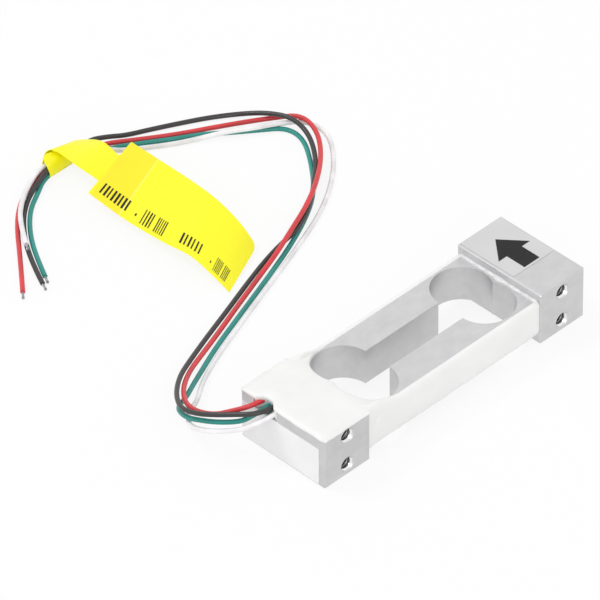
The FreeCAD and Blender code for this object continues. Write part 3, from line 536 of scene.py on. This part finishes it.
def end_tree(tree, geometry, finish):
    """Ends a tree in real geometry that has its material."""
    whole = add(tree, "GeometryNodeRealizeInstances", {}, {"Geometry": geometry}).outputs[0]
    done = add(tree, "GeometryNodeSetMaterial", {}, {"Geometry": whole, "Material": finish})
    add(tree, "NodeGroupOutput", {}, {0: done.outputs[0]})


def grown(name, tree, values):
    """A plain mesh object that a Geometry Nodes tree makes from these inputs."""
    obj = link(name, bpy.data.meshes.new(name))
    modifier = obj.modifiers.new(name, "NODES")
    modifier.node_group = tree
    for item in tree.interface.items_tree:
        if item.item_type == "SOCKET" and item.name in values:
            modifier[item.identifier] = values[item.name]
    return baked(obj)


def dress(node, material):
    """Gives a CAD node its material."""
    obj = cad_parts[node]
    obj.data.materials.clear()
    obj.data.materials.append(material)


def along(points, steps):
    """A Catmull-Rom line through points, sampled evenly in its parameter."""
    p = np.array(points, float)
    p = np.vstack([2 * p[0] - p[1], p, 2 * p[-1] - p[-2]])
    out = []
    for t in np.linspace(0, len(points) - 1, steps):
        i = min(int(t), len(points) - 2)
        u = t - i
        a, b, c, d = p[i:i + 4]
        out.append(0.5 * (2 * b + (c - a) * u + (2 * a - 5 * b + 4 * c - d) * u * u
                          + (3 * b - a - 3 * c + d) * u ** 3))
    return np.array(out)


def grid_mesh(name, grid):
    """An open mesh of quads from a grid of points."""
    rows, columns = grid.shape[:2]
    faces = []
    for i in range(rows - 1):
        for j in range(columns - 1):
            k = i * columns + j
            faces.append((k, k + 1, k + columns + 1, k + columns))
    mesh = bpy.data.meshes.new(name)
    mesh.from_pydata([tuple(v) for v in grid.reshape(-1, 3)], [], faces)
    mesh.update()
    return mesh


def closed_layer(top, bottom):
    """Vertices and faces of a closed solid between two grids of the same shape, top facing out."""
    rows, columns = top.shape[:2]
    count = rows * columns
    vertices = [tuple(v) for v in top.reshape(-1, 3)] + [tuple(v) for v in bottom.reshape(-1, 3)]
    faces = []
    for i in range(rows - 1):
        for j in range(columns - 1):
            k = i * columns + j
            faces.append((k, k + columns, k + columns + 1, k + 1))
            faces.append((count + k, count + k + 1, count + k + columns + 1, count + k + columns))
    rim = list(range(columns))
    rim += [i * columns + columns - 1 for i in range(1, rows)]
    rim += [(rows - 1) * columns + j for j in range(columns - 2, -1, -1)]
    rim += [i * columns for i in range(rows - 2, 0, -1)]
    for a, b in zip(rim, rim[1:] + rim[:1]):
        faces.append((a, b, count + b, count + a))
    return vertices, faces


class CELL_OT_stage(bpy.types.Operator):
    """Makes the camera, the floor and the lights"""
    bl_idname = "cell.stage"
    bl_label = "Stage"

    def execute(self, context):
        scene = context.scene
        scene.view_settings.view_transform = "Standard"
        data = bpy.data.cameras.new("camera")
        data.sensor_width = SENSOR_WIDTH
        data.lens = CAMERA_PIXELS_PER_RADIAN * SENSOR_WIDTH / PHOTO_WIDTH
        data.clip_end = 20.0
        camera = link("camera", data)
        back = Vector((math.sin(CAMERA_AZIMUTH) * math.cos(CAMERA_ELEVATION),
                       -math.cos(CAMERA_AZIMUTH) * math.cos(CAMERA_ELEVATION),
                       math.sin(CAMERA_ELEVATION)))
        right = Vector((math.cos(CAMERA_AZIMUTH), math.sin(CAMERA_AZIMUTH), 0))
        up = back.cross(right)
        turn = Matrix((right, up, back)).transposed() @ Matrix.Rotation(CAMERA_ROLL, 3, "Z")
        camera.matrix_world = Matrix.Translation(CAMERA_AIM + back * CAMERA_DISTANCE) @ turn.to_4x4()
        scene.camera = camera
        self.floor()
        self.lights()
        self.world(scene)
        return {"FINISHED"}

    def floor(self):
        """A white sweep that keeps a faint shadow."""
        half = 3.0
        mesh = bpy.data.meshes.new("floor")
        mesh.from_pydata([(-half, -half, 0), (half, -half, 0), (half, half, 0), (-half, half, 0)], [],
                         [(0, 1, 2, 3)])
        floor = link("floor", mesh)
        floor.location.z = -0.02 * MM
        material = bpy.data.materials.new("studio_sweep")
        material.use_nodes = True
        tree = material.node_tree
        tree.nodes.clear()
        matt = add(tree, "ShaderNodeBsdfDiffuse", {"Color": linear("#f2f2f2")}).outputs[0]
        glow = add(tree, "ShaderNodeEmission", {"Color": (1, 1, 1, 1), "Strength": 1.0}).outputs[0]
        share = add(tree, "ShaderNodeMath", {"operation": "MULTIPLY", 1: FLOOR_WHITE},
                    {0: self.seen(tree)}).outputs[0]
        mixed = add(tree, "ShaderNodeMixShader", links={0: share, 1: matt, 2: glow}).outputs[0]
        add(tree, "ShaderNodeOutputMaterial", links={"Surface": mixed})
        floor.data.materials.append(material)

    def lights(self):
        """A soft key from above and behind, a fill beside the camera, and a small low one for the holes."""
        for name, place, size, power in (("key", (-0.5, 0.9, 1.5), 0.5, 6.0),
                                         ("fill", (-0.9, -1.2, 0.9), 0.8, 3.6),
                                         ("glint", (-1.1, -1.3, 0.5), 0.2, 1.6)):
            data = bpy.data.lights.new(name, "AREA")
            data.shape = "DISK"
            data.size = size
            data.energy = power
            lamp = link(name, data)
            lamp.location = place
            lamp.rotation_euler = (-Vector(place)).to_track_quat("-Z", "Y").to_euler()

    def world(self, scene):
        """Even white surroundings, full white where they are seen."""
        world = bpy.data.worlds.new("studio")
        world.use_nodes = True
        tree = world.node_tree
        tree.nodes.clear()
        strength = add(tree, "ShaderNodeMapRange", {"To Min": SKY_LIGHT, "To Max": 1.0},
                       {"Value": self.seen(tree)}).outputs["Result"]
        shade = add(tree, "ShaderNodeBackground", {"Color": (1, 1, 1, 1)}, {"Strength": strength})
        add(tree, "ShaderNodeOutputWorld", links={"Surface": shade.outputs[0]})
        scene.world = world

    def seen(self, tree):
        """One for what the camera sees, directly or in metal or through film, and nothing for light."""
        path = add(tree, "ShaderNodeLightPath").outputs
        rays = path["Is Camera Ray"]
        for kind in ("Is Glossy Ray", "Is Transmission Ray"):
            rays = add(tree, "ShaderNodeMath", {"operation": "MAXIMUM"}, {0: rays, 1: path[kind]}).outputs[0]
        return rays


class CELL_OT_leads(bpy.types.Operator):
    """Lays the loose leads and their bare stranded ends"""
    bl_idname = "cell.leads"
    bl_label = "Leads"

    def execute(self, context):
        tree = self.strand_tree()
        tin = tinned_copper()
        for name, route in ROUTES.items():
            points = [Vector(point) * MM for point in route]
            lead = keep(self.tube(name, points), insulation(name, getattr(colours(), name)),
                        ["lead_" + name])
            core = self.core(name, points, tree, tin)
        return {"FINISHED"}

    def tube(self, name, points):
        """The insulation: a round smooth curve with the route's points as its control points."""
        curve = bpy.data.curves.new("insulation_" + name, "CURVE")
        curve.dimensions = "3D"
        curve.bevel_depth = sizes().lead_diameter / 2
        curve.bevel_resolution = 5
        curve.resolution_u = 8
        curve.use_fill_caps = True
        spline = curve.splines.new("NURBS")
        spline.points.add(len(points) - 1)
        for point, place in zip(spline.points, points):
            point.co = (*place, 1.0)
        spline.order_u = 3
        spline.use_endpoint_u = True
        return link("insulation_" + name, curve)

    def core(self, name, points, tree, tin):
        """The twisted strands at one bare end, slightly opened at the tip."""
        size = sizes()
        obj = grown("strands_" + name, tree, {"Length": size.core_bare, "Bundle": size.core_diameter,
                                              "Count": size.strands, "Finish": tin})
        way = (points[-1] - points[-2]).normalized()
        turn = way.to_track_quat("Z", "Y").to_matrix().to_4x4()
        obj.data.transform(Matrix.Translation(points[-1] - way * 0.3 * MM) @ turn)
        return keep(smooth(obj, 50), tin, ["core_" + name])

    def strand_tree(self):
        """Lines in a ring and one in the middle, twisted as they rise, each swept by a small circle."""
        tree, given = new_tree("twisted_strands", (("Length", "Float"), ("Bundle", "Float"), ("Count", "Int"),
                                                   ("Finish", "Material")))
        outer = add(tree, "ShaderNodeMath", {"operation": "SUBTRACT", 1: 1},
                    {0: given["Count"]}).outputs[0]
        ring = add(tree, "ShaderNodeMath", {"operation": "DIVIDE", 1: STRAND_RING},
                   {0: given["Bundle"]}).outputs[0]
        circle = add(tree, "GeometryNodeMeshCircle", {}, {"Vertices": outer, "Radius": ring}).outputs[0]
        middle = add(tree, "GeometryNodeMeshLine", {"Count": 1}).outputs[0]
        seats = add(tree, "GeometryNodeJoinGeometry")
        tree.links.new(circle, seats.inputs[0])
        tree.links.new(middle, seats.inputs[0])
        tip = add(tree, "ShaderNodeCombineXYZ", {}, {"Z": given["Length"]}).outputs[0]
        line = add(tree, "GeometryNodeCurvePrimitiveLine", {}, {"End": tip}).outputs[0]
        line = add(tree, "GeometryNodeResampleCurve", {"Count": 14}, {"Curve": line}).outputs[0]
        placed = add(tree, "GeometryNodeInstanceOnPoints", {},
                     {"Points": seats.outputs[0], "Instance": line}).outputs[0]
        curves = add(tree, "GeometryNodeRealizeInstances", {}, {"Geometry": placed}).outputs[0]
        here = add(tree, "GeometryNodeInputPosition").outputs[0]
        height = add(tree, "ShaderNodeSeparateXYZ", {}, {0: here}).outputs["Z"]
        twist = add(tree, "ShaderNodeMath", {"operation": "MULTIPLY", 1: STRAND_TWIST},
                    {0: height}).outputs[0]
        turned = add(tree, "ShaderNodeVectorRotate", {"rotation_type": "Z_AXIS"},
                     {"Vector": here, "Angle": twist}).outputs[0]
        part = add(tree, "ShaderNodeMath", {"operation": "DIVIDE"},
                   {0: height, 1: given["Length"]}).outputs[0]
        flare = add(tree, "ShaderNodeMath", {"operation": "POWER", 1: 4.0}, {0: part}).outputs[0]
        flare = add(tree, "ShaderNodeMath", {"operation": "MULTIPLY_ADD", 1: STRAND_FLARE, 2: 1.0},
                    {0: flare}).outputs[0]
        wide = add(tree, "ShaderNodeCombineXYZ", {"Z": 1.0}, {"X": flare, "Y": flare}).outputs[0]
        opened = add(tree, "ShaderNodeVectorMath", {"operation": "MULTIPLY"}, {0: turned, 1: wide}).outputs[0]
        moved = add(tree, "GeometryNodeSetPosition", {}, {"Geometry": curves, "Position": opened}).outputs[0]
        wire = add(tree, "ShaderNodeMath", {"operation": "DIVIDE", 1: STRAND_WIRE},
                   {0: given["Bundle"]}).outputs[0]
        section = add(tree, "GeometryNodeCurvePrimitiveCircle", {"Resolution": 8},
                      {"Radius": wire}).outputs[0]
        swept = add(tree, "GeometryNodeCurveToMesh", {"Fill Caps": True},
                    {"Curve": moved, "Profile Curve": section}).outputs[0]
        end_tree(tree, swept, given["Finish"])
        return tree


class CELL_OT_metal(bpy.types.Operator):
    """Finishes the spring element and cuts its threads"""
    bl_idname = "cell.metal"
    bl_label = "Spring element"

    def execute(self, context):
        dress("spring_element", milled_aluminium())
        size = sizes()
        finish = thread_metal()
        obj = grown("hole_threads", self.thread_tree(),
                    {"Pitch": size.thread_pitch, "Depth": size.thread_depth, "Radius": TAP_RADIUS,
                     "Length": 2 * (HALF_WIDTH - THREAD_START), "Blind length": BLIND_THREAD,
                     "Finish": finish})
        keep(smooth(obj, 30), finish)
        return {"FINISHED"}

    def thread_tree(self):
        """For each hole one helix with a pointed section, and the cones where the tap leads in."""
        tree, given = new_tree("hole_threads", (("Pitch", "Float"), ("Depth", "Float"), ("Radius", "Float"),
                                                ("Length", "Float"), ("Blind length", "Float"),
                                                ("Finish", "Material")))
        joined = add(tree, "GeometryNodeJoinGeometry")
        high, low = BODY_TOP - TAP_TO_EDGE, TAP_TO_EDGE
        wide, narrow = TAP_RADIUS + 0.05 * MM, TAP_RADIUS - 0.3 * MM
        cones = ((wide, narrow, LEAD_IN_START - HALF_WIDTH),
                 (narrow, wide, HALF_WIDTH - LEAD_IN_START - LEAD_IN_DEPTH))
        for x, z, reach in ((-TAP_X, high, "Blind length"), (-TAP_X, low, "Length"), (TAP_X, high, "Length"),
                            (TAP_X, low, "Length")):
            turns = add(tree, "ShaderNodeMath", {"operation": "DIVIDE"},
                        {0: given[reach], 1: given["Pitch"]}).outputs[0]
            helix = add(tree, "GeometryNodeCurveSpiral", {"Resolution": 22},
                        {"Rotations": turns, "Start Radius": given["Radius"],
                         "End Radius": given["Radius"], "Height": given[reach]}).outputs[0]
            section = add(tree, "GeometryNodeCurvePrimitiveCircle", {"Resolution": 3},
                          {"Radius": given["Depth"]}).outputs[0]
            ridge = add(tree, "GeometryNodeCurveToMesh", {"Fill Caps": True},
                        {"Curve": helix, "Profile Curve": section}).outputs[0]
            self.seat(tree, joined, ridge, (x, THREAD_START - HALF_WIDTH, z))
            for start, end, y in cones:
                cone = add(tree, "GeometryNodeMeshCone",
                           {"fill_type": "NONE", "Vertices": 40, "Radius Bottom": start, "Radius Top": end,
                            "Depth": LEAD_IN_DEPTH}).outputs[0]
                self.seat(tree, joined, cone, (x, y, z))
        end_tree(tree, joined.outputs[0], given["Finish"])
        return tree

    def seat(self, tree, joined, upright, place):
        """Turns an upright piece along Y and puts it in its hole."""
        laid = add(tree, "GeometryNodeTransform",
                   {"Translation": place, "Rotation": (-math.pi / 2, 0, 0)},
                   {"Geometry": upright}).outputs[0]
        tree.links.new(laid, joined.inputs[0])


class CELL_OT_coating(bpy.types.Operator):
    """Models the brushed-on silicone as one soft skin, open over the cut-out"""
    bl_idname = "cell.coating"
    bl_label = "Silicone coating"
    voxel: FloatProperty(name="Voxel", description="Grid size that merges the skin", default=0.18 * MM,
                         unit="LENGTH", precision=5)

    def execute(self, context):
        layers = [self.skin(), self.groove(), self.flank(-1), self.flank(1)] + self.laps()
        obj = link("silicone_skin", solid("silicone_skin", layers))
        self.merge(obj)
        cutter = self.cut_out(CUT_MARGIN)
        cut = obj.modifiers.new("cut_out", "BOOLEAN")
        cut.operation = "DIFFERENCE"
        cut.solver = "EXACT"
        cut.object = cutter
        self.merge(obj)
        soften = obj.modifiers.new("soften", "SMOOTH")
        soften.factor = 0.5
        soften.iterations = 8
        baked(obj)
        bpy.data.objects.remove(cutter)
        self.uneven(obj.data)
        keep(smooth(obj), silicone_rubber(), ["silicone_coating"])
        self.foot()
        return {"FINISHED"}

    def merge(self, obj):
        """Adds a modifier that makes one skin of overlapping solids."""
        remesh = obj.modifiers.new("merge", "REMESH")
        remesh.mode = "VOXEL"
        remesh.voxel_size = self.voxel

    def skin(self):
        """Over the near block and down onto the beam, thick in the middle and thin at the edges."""
        crown = NEAR_TOP + sizes().coat_crown
        foot = -BLOCK_INNER
        profile = along([(-HALF_LENGTH - 0.02 * MM, NEAR_TOP - 0.25 * MM),
                         (-HALF_LENGTH, NEAR_TOP + 0.12 * MM),
                         (-HALF_LENGTH + 0.5 * MM, NEAR_TOP + 0.36 * MM),
                         (-HALF_LENGTH + 1.6 * MM, NEAR_TOP + 0.50 * MM),
                         (-HALF_LENGTH + 5.0 * MM, crown + 0.02 * MM),
                         (foot - 2.5 * MM, crown - 0.02 * MM),
                         (foot - 0.3 * MM, NEAR_TOP + 0.40 * MM),
                         (foot + 1.1 * MM, NEAR_TOP + 0.02 * MM),
                         (foot + 2.9 * MM, BEAM_TOP + 1.10 * MM),
                         (foot + 5.6 * MM, BEAM_TOP + 0.62 * MM),
                         (foot + 7.6 * MM, BEAM_TOP + 0.26 * MM),
                         (foot + 9.4 * MM, BEAM_TOP - 0.30 * MM)], 120)
        width = HALF_WIDTH - 0.03 * MM
        ys = np.linspace(-1, 1, 96)
        top = np.zeros((len(profile), len(ys), 3))
        bottom = np.zeros_like(top)
        for i, (x, z) in enumerate(profile):
            on_beam = x > foot
            half = WALL_Y + 0.45 * MM if on_beam else width
            under = BEAM_TOP - 0.6 * MM if on_beam else NEAR_TOP - 0.45 * MM
            for j, share in enumerate(ys):
                y = share * half
                edge = (1 - abs(share)) * half
                fall = 0.55 * MM * max(0.0, 1 - edge / (1.7 * MM)) ** 2
                near = max(0.0, 1 - (x + HALF_LENGTH) / (4 * MM))
                mouth = self.mouth(y)
                ragged = noise.noise((y / (1.3 * MM), 3.0, 0.0))
                shift = near * (1.35 * MM * mouth + 0.12 * MM * ragged)
                swell = 0.22 * MM * math.exp(-((x + 32.0 * MM) / (1.9 * MM)) ** 2
                                             - ((y - 4.6 * MM) / (2.8 * MM)) ** 2)
                top[i, j] = (x + shift, y, max(z - fall + swell, under + 0.05 * MM))
                bottom[i, j] = (x + shift, y, under)
        return closed_layer(top, bottom)

    def groove(self):
        """The filling round the leads, a little behind the block's end."""
        shares = np.linspace(0.0, 1.0, 40)
        ys = np.linspace(GROOVE_Y[0] - 0.1 * MM, GROOVE_Y[1] + 0.1 * MM, 30)
        inner = -BLOCK_INNER + 0.2 * MM
        top = np.zeros((len(shares), len(ys), 3))
        bottom = np.zeros_like(top)
        for i, share in enumerate(shares):
            for j, y in enumerate(ys):
                start = -HALF_LENGTH + 0.12 * MM + 1.5 * MM * self.mouth(y)
                x = start + (inner - start) * share
                top[i, j] = (x, y, NEAR_TOP + 0.1 * MM)
                bottom[i, j] = (x, y, NEAR_TOP - 2.6 * MM)
        return closed_layer(top, bottom)

    def mouth(self, y):
        """One where the leads come out of the end, falling to nothing on each side."""
        return math.exp(-(((y - 4.75 * MM) / (1.85 * MM)) ** 4))

    def laps(self):
        """Beads where the coating laps down over the near block's upper edges."""
        end, inner = -HALF_LENGTH + 0.06 * MM, -BLOCK_INNER + 0.1 * MM
        high = NEAR_TOP - 0.18 * MM
        edge = HALF_WIDTH - 0.08 * MM
        runs = (((end, -edge), (inner, -edge)), ((end, edge), (inner, edge)),
                ((end, -edge), (end, 1.9 * MM)), ((end, 7.3 * MM), (end, edge)))
        beads = []
        for (x0, y0), (x1, y1) in runs:
            line, radii = [], []
            for share in np.linspace(0, 1, 60):
                x, y = x0 + (x1 - x0) * share, y0 + (y1 - y0) * share
                wave = noise.noise((x / (2.3 * MM), y / (2.3 * MM), 11.0))
                taper = min(1.0, 0.45 + min(share, 1 - share) * 6) if x0 == x1 else 1.0
                line.append((x, y, high + 0.03 * MM * wave))
                radii.append((0.27 + 0.09 * wave) * MM * taper)
            beads.append(self.bead(line, radii))
        return beads

    def bead(self, line, radii):
        """Vertices and faces of a closed round bead along a level line."""
        way = (Vector(line[-1]) - Vector(line[0])).normalized()
        side, up = way.cross((0, 0, 1)), Vector((0, 0, 1))
        count = 12
        vertices, faces = [], []
        for centre, radius in zip(line, radii):
            for k in range(count):
                turn = 2 * math.pi * k / count
                vertices.append(Vector(centre) + (side * math.cos(turn) + up * math.sin(turn)) * radius)
        for i in range(len(line) - 1):
            for k in range(count):
                a, b = i * count + k, i * count + (k + 1) % count
                faces.append((a, b, b + count, a + count))
        faces.append(tuple(range(count - 1, -1, -1)))
        faces.append(tuple((len(line) - 1) * count + k for k in range(count)))
        return vertices, faces

    def flank(self, side):
        """Along one outer wall: a low dome, raised where it runs into the skin at the near block."""
        bulge = sizes().coat_side
        # Points of the section: out, as a share of the bulge, and up from the beam's underside in millimetres
        dome = along([(-0.25, 0.10), (0.35, 0.0), (0.72, 0.35), (0.96, 1.2), (1.0, 4.0), (0.98, 6.9),
                      (0.84, 7.75), (0.4, 8.14), (-0.12, 8.15), (-0.35, 7.75)], 44)
        raised = along([(-0.25, 0.10), (0.35, 0.0), (0.72, 0.35), (0.96, 1.2), (1.0, 4.0), (1.0, 7.2),
                        (0.95, 8.4), (0.72, 9.3), (0.1, 9.9), (-0.6, 10.0)], 44)
        foot = -BLOCK_INNER
        xs = np.linspace(foot - 0.25 * MM, BLOCK_INNER + 0.25 * MM, 180)
        top = np.zeros((len(xs), len(dome), 3))
        bottom = np.zeros_like(top)
        for i, x in enumerate(xs):
            blend = min(1.0, max(0.0, (x - foot - 1.6 * MM) / (7.5 * MM)))
            blend = blend * blend * (3 - 2 * blend)
            section = raised * (1 - blend) + dome * blend
            corner = max(0.0, 1 - (x - foot) / (1.6 * MM)) ** 2 * 0.22
            for j, (out, up) in enumerate(section):
                z = STEP + up * MM
                top[i, j] = (x, side * (WALL_Y + (out * bulge) * (1 + corner)), z)
                low = min(max(z, STEP + 0.1 * MM), BEAM_TOP - 0.3 * MM + 1.5 * MM * (1 - blend))
                bottom[i, j] = (x, side * (WALL_Y - 0.5 * MM), low)
        return closed_layer(top, bottom)

    def foot(self):
        """The thin smear along the foot of the far block, with a drop at the cusp between the lobes."""
        ys = np.linspace(-WALL_Y - 0.2 * MM, WALL_Y + 0.2 * MM, 160)
        # Points of the section in millimetres: from the far block's side, and up from the beam's top
        arc = along([(-0.46, -0.04), (-0.34, 0.05), (-0.18, 0.13), (-0.05, 0.30), (0.1, 0.46)], 12)
        top = np.zeros((len(ys), len(arc), 3))
        bottom = np.zeros_like(top)
        for i, y in enumerate(ys):
            drop = 1.1 * math.exp(-((y / (0.9 * MM)) ** 2))
            wide = 1.0 + 0.3 * noise.noise((y / (1.7 * MM), 5.0, 2.0)) + drop
            for j, (out, up) in enumerate(arc):
                top[i, j] = (BLOCK_INNER + out * wide * MM, y, BEAM_TOP + up * min(wide, 1.4) * MM)
                bottom[i, j] = (BLOCK_INNER + out * wide * MM, y, BEAM_TOP - 0.2 * MM)
        mesh = solid("silicone_foot", [closed_layer(top, bottom)])
        keep(smooth(link("silicone_foot", mesh), 50), silicone_smear())

    def uneven(self, mesh):
        """Low soft waves, stronger near the mouth, and the dimple by the near block's front corner."""
        ripple = sizes().coat_ripple
        dimple = Vector((-BLOCK_INNER + 2.3 * MM, -HALF_WIDTH + 0.2 * MM, 8.3 * MM))
        moved = []
        for vertex in mesh.vertices:
            place = vertex.co
            wave = noise.noise(place / (4.6 * MM))
            wave += 0.45 * noise.noise(place / (1.9 * MM) + Vector((7, 3, 5)))
            # The rim along the beam's upper edge stays even
            lip = min(1.0, Vector((abs(place.y) - 9.8 * MM, place.z - BEAM_TOP)).length / (1.6 * MM))
            calm = lip * lip if place.x > -BLOCK_INNER + 9 * MM else 1.0
            rough = 1.0 + 0.5 * math.exp(-((place.x + HALF_LENGTH) / (3.5 * MM)) ** 2)
            push = ripple * wave * calm * rough
            near = (place - dimple).length / (0.55 * MM)
            push -= 0.28 * MM * math.exp(-near * near)
            moved.extend(place + vertex.normal * push)
        mesh.vertices.foreach_set("co", moved)
        mesh.update()

    def cut_out(self, margin):
        """The lobes and the slot as one upright solid, wider all round by a margin."""
        radius = LOBE_RADIUS + margin
        steps = 48
        outline = []
        start = math.asin((SLOT_HALF + margin - LOBE_Y) / radius)
        cusp = math.asin(LOBE_Y / radius)
        for step in range(steps + 1):
            angle = start + (math.pi + cusp - start) * step / steps
            outline.append((LOBE_X - radius * math.cos(angle), LOBE_Y + radius * math.sin(angle)))
        right = outline[:-1] + [(LOBE_X + radius * math.cos(cusp), 0.0)]
        half = right + [(x, -y) for x, y in reversed(right[:-1])]
        whole = half + [(-x, -y) for x, y in half]
        builder = bmesh.new()
        low = [builder.verts.new((x, y, -1 * MM)) for x, y in whole]
        face = builder.faces.new(low)
        high = bmesh.ops.extrude_face_region(builder, geom=[face])["geom"]
        for item in high:
            if isinstance(item, bmesh.types.BMVert):
                item.co.z = BODY_TOP + 3 * MM
        bmesh.ops.recalc_face_normals(builder, faces=builder.faces)
        mesh = bpy.data.meshes.new("cut_out")
        builder.to_mesh(mesh)
        builder.free()
        return link("cut_out", mesh)


class CELL_OT_tag(bpy.types.Operator):
    """Models the film tag and its printed marks"""
    bl_idname = "cell.tag"
    bl_label = "Film tag"

    def execute(self, context):
        lead, core = (bpy.data.objects.get(name) for name in ("insulation_black", "strands_black"))
        if lead is None or core is None:
            raise RuntimeError("the leads have to be laid before the tag")
        # The flag's long edges in 400 steps
        edges = [along(edge, 401) * MM for edge in (FLAG_NEAR, FLAG_FAR)]
        builder = bmesh.new()
        for grid in (self.flag_grid(edges, 90, 34), self.strip(TAIL_NEAR, TAIL_FAR, 120, 26)):
            part = grid_mesh("part", grid)
            builder.from_mesh(part)
            bpy.data.meshes.remove(part)
        mesh = bpy.data.meshes.new("film_tag")
        builder.to_mesh(mesh)
        builder.free()
        obj = link("film_tag", mesh)
        wall = obj.modifiers.new("film", "SOLIDIFY")
        wall.thickness = sizes().film
        wall.offset = 0
        keep(smooth(baked(obj), 40), tag_film(), ["wire_tag"])
        marks = keep(self.marks(edges), printed_ink(), ["tag_print"])
        return {"FINISHED"}

    def strip(self, near, far, rows, columns):
        """A grid between two edges."""
        a, b = (along(edge, rows)[:, None, :] * MM for edge in (near, far))
        share = np.linspace(0, 1, columns)[None, :, None]
        return a * (1 - share) + b * share

    def flag_grid(self, edges, rows, columns):
        """The flag, with its outer far corner rounded."""
        grid = self.strip(FLAG_NEAR, FLAG_FAR, rows, columns)
        rounding, reach = 0.045, 0.15
        for i in range(rows):
            for j in range(columns):
                u, v = i / (rows - 1), j / (columns - 1)
                a = max(0.0, 1 - (1 - u) / rounding)
                b = max(0.0, 1 - (1 - v) / reach)
                if a > 0 and b > 0:
                    u = 1 - rounding * (1 - a * math.sqrt(1 - b * b / 2))
                    v = 1 - reach * (1 - b * math.sqrt(1 - a * a / 2))
                    grid[i, j] = self.flag_point(edges, u, v)
        return grid

    def flag_point(self, edges, u, v):
        """A point of the flag: u from the leads outwards, v from the near edge to the far one."""
        steps = len(edges[0]) - 1
        k = min(steps - 1, int(u * steps))
        w = u * steps - k
        a, b = (edge[k] * (1 - w) + edge[k + 1] * w for edge in edges)
        return a * (1 - v) + b * v

    def marks(self, edges):
        """Groups of plain strokes along the near edge, where print goes."""
        vertices, faces = [], []
        lift = sizes().film / 2 + 0.015 * MM
        for group, (start, end, count, low, high) in enumerate(MARKS):
            gap = (end - start) / count
            for k in range(count):
                share = 0.42 + 0.28 * noise.noise((group * 3.1, k * 1.7, 0.5))
                u0 = start + k * gap
                u1 = u0 + gap * (1.0 if count == 1 else share)
                base = len(vertices)
                for u, v in ((u0, low), (u1, low), (u1, high), (u0, high)):
                    p, n = Vector(self.flag_point(edges, u, v)), self.normal_at(edges, u, v)
                    vertices.append(p + n * lift)
                    vertices.append(p + n * (lift + 0.03 * MM))
                for i in range(4):
                    a, b = base + 2 * i, base + 2 * ((i + 1) % 4)
                    faces.append((a, b, b + 1, a + 1))
                faces.append(tuple(base + 2 * i + 1 for i in range(4)))
                faces.append(tuple(base + 2 * i for i in (3, 2, 1, 0)))
        return link("tag_marks", solid("tag_marks", [(vertices, faces)]))

    def normal_at(self, edges, u, v):
        """The flag's upward normal."""
        step = 0.004
        p, a, b = (Vector(self.flag_point(edges, *at))
                   for at in ((u, v), (min(1.0, u + step), v), (u, min(1.0, v + step))))
        n = (a - p).cross(b - p).normalized()
        return n if n.z > 0 else -n


class CELL_OT_labels(bpy.types.Operator):
    """Finishes the blank end label, the arrow label and its arrow"""
    bl_idname = "cell.labels"
    bl_label = "Labels"

    def execute(self, context):
        dress("end_label", coated_paper("coated_paper", colours().paper))
        dress("arrow_label", coated_paper("silvered_label_film", colours().foil))
        dress("arrow_print", printed_ink())
        return {"FINISHED"}


class CELL_OT_inner(bpy.types.Operator):
    """Finishes the gauges, ribbons, board, pads and solder under the coating"""
    bl_idname = "cell.inner"
    bl_label = "Inner pieces"

    def execute(self, context):
        joint = small_part("solder", "#a6a9ad", "#c6c9cc", 0.25, 1.0, 0.3)
        finishes = {
            "gauge_backing": small_part("polyimide_film", "#b97f2c", "#d79a45", 0.35, 0.0, 1.0),
            "gauge_grid": small_part("constantan_foil", "#a9866a", "#bf9c80", 0.35, 1.0, 0.5),
            "gauge_solder": joint,
            "bridge_ribbons": small_part("tinned_ribbon", "#b1b2b5", "#cfd0d2", 0.3, 1.0, 0.4),
            "terminal_board": small_part("solder_masked_laminate", "#265b3e", "#337350", 0.4, 0.0, 0.8),
            "board_pads": small_part("bare_copper", "#b9764a", "#d0926a", 0.3, 1.0, 0.4),
            "board_solder": joint,
        }
        for start, finish in finishes.items():
            nodes = [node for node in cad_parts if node.startswith(start)]
            if not nodes:
                raise RuntimeError("the frame has no " + start)
            for node in nodes:
                dress(node, finish)
        return {"FINISHED"}


class CELL_PT_panel(bpy.types.Panel):
    """Lists the steps, sizes and colours"""
    bl_idname = "CELL_PT_panel"
    bl_label = "Load cell"
    bl_space_type = "VIEW_3D"
    bl_region_type = "UI"
    bl_category = "Load cell"

    def draw(self, context):
        for step in STEPS:
            self.layout.operator(step.bl_idname)
        for group in (context.scene.cell_sizes, context.scene.cell_colours):
            for name in group.bl_rna.properties.keys():
                if name not in ("rna_type", "name"):
                    self.layout.prop(group, name)


STEPS = (CELL_OT_stage, CELL_OT_leads, CELL_OT_metal, CELL_OT_coating, CELL_OT_tag, CELL_OT_labels,
         CELL_OT_inner)
CLASSES = (CellSizes, CellColours) + STEPS + (CELL_PT_panel,)


def register():
    """Registers the classes and the two groups of settings."""
    for item in CLASSES:
        bpy.utils.register_class(item)
    bpy.types.Scene.cell_sizes = PointerProperty(type=CellSizes)
    bpy.types.Scene.cell_colours = PointerProperty(type=CellColours)


def unregister():
    """Takes them away again."""
    del bpy.types.Scene.cell_colours
    del bpy.types.Scene.cell_sizes
    for item in reversed(CLASSES):
        bpy.utils.unregister_class(item)


def main():
    """Runs each step in order."""
    register()
    for step in STEPS:
        group, name = step.bl_idname.split(".")
        getattr(getattr(bpy.ops, group), name)()


if __name__ == "__main__":
    main()
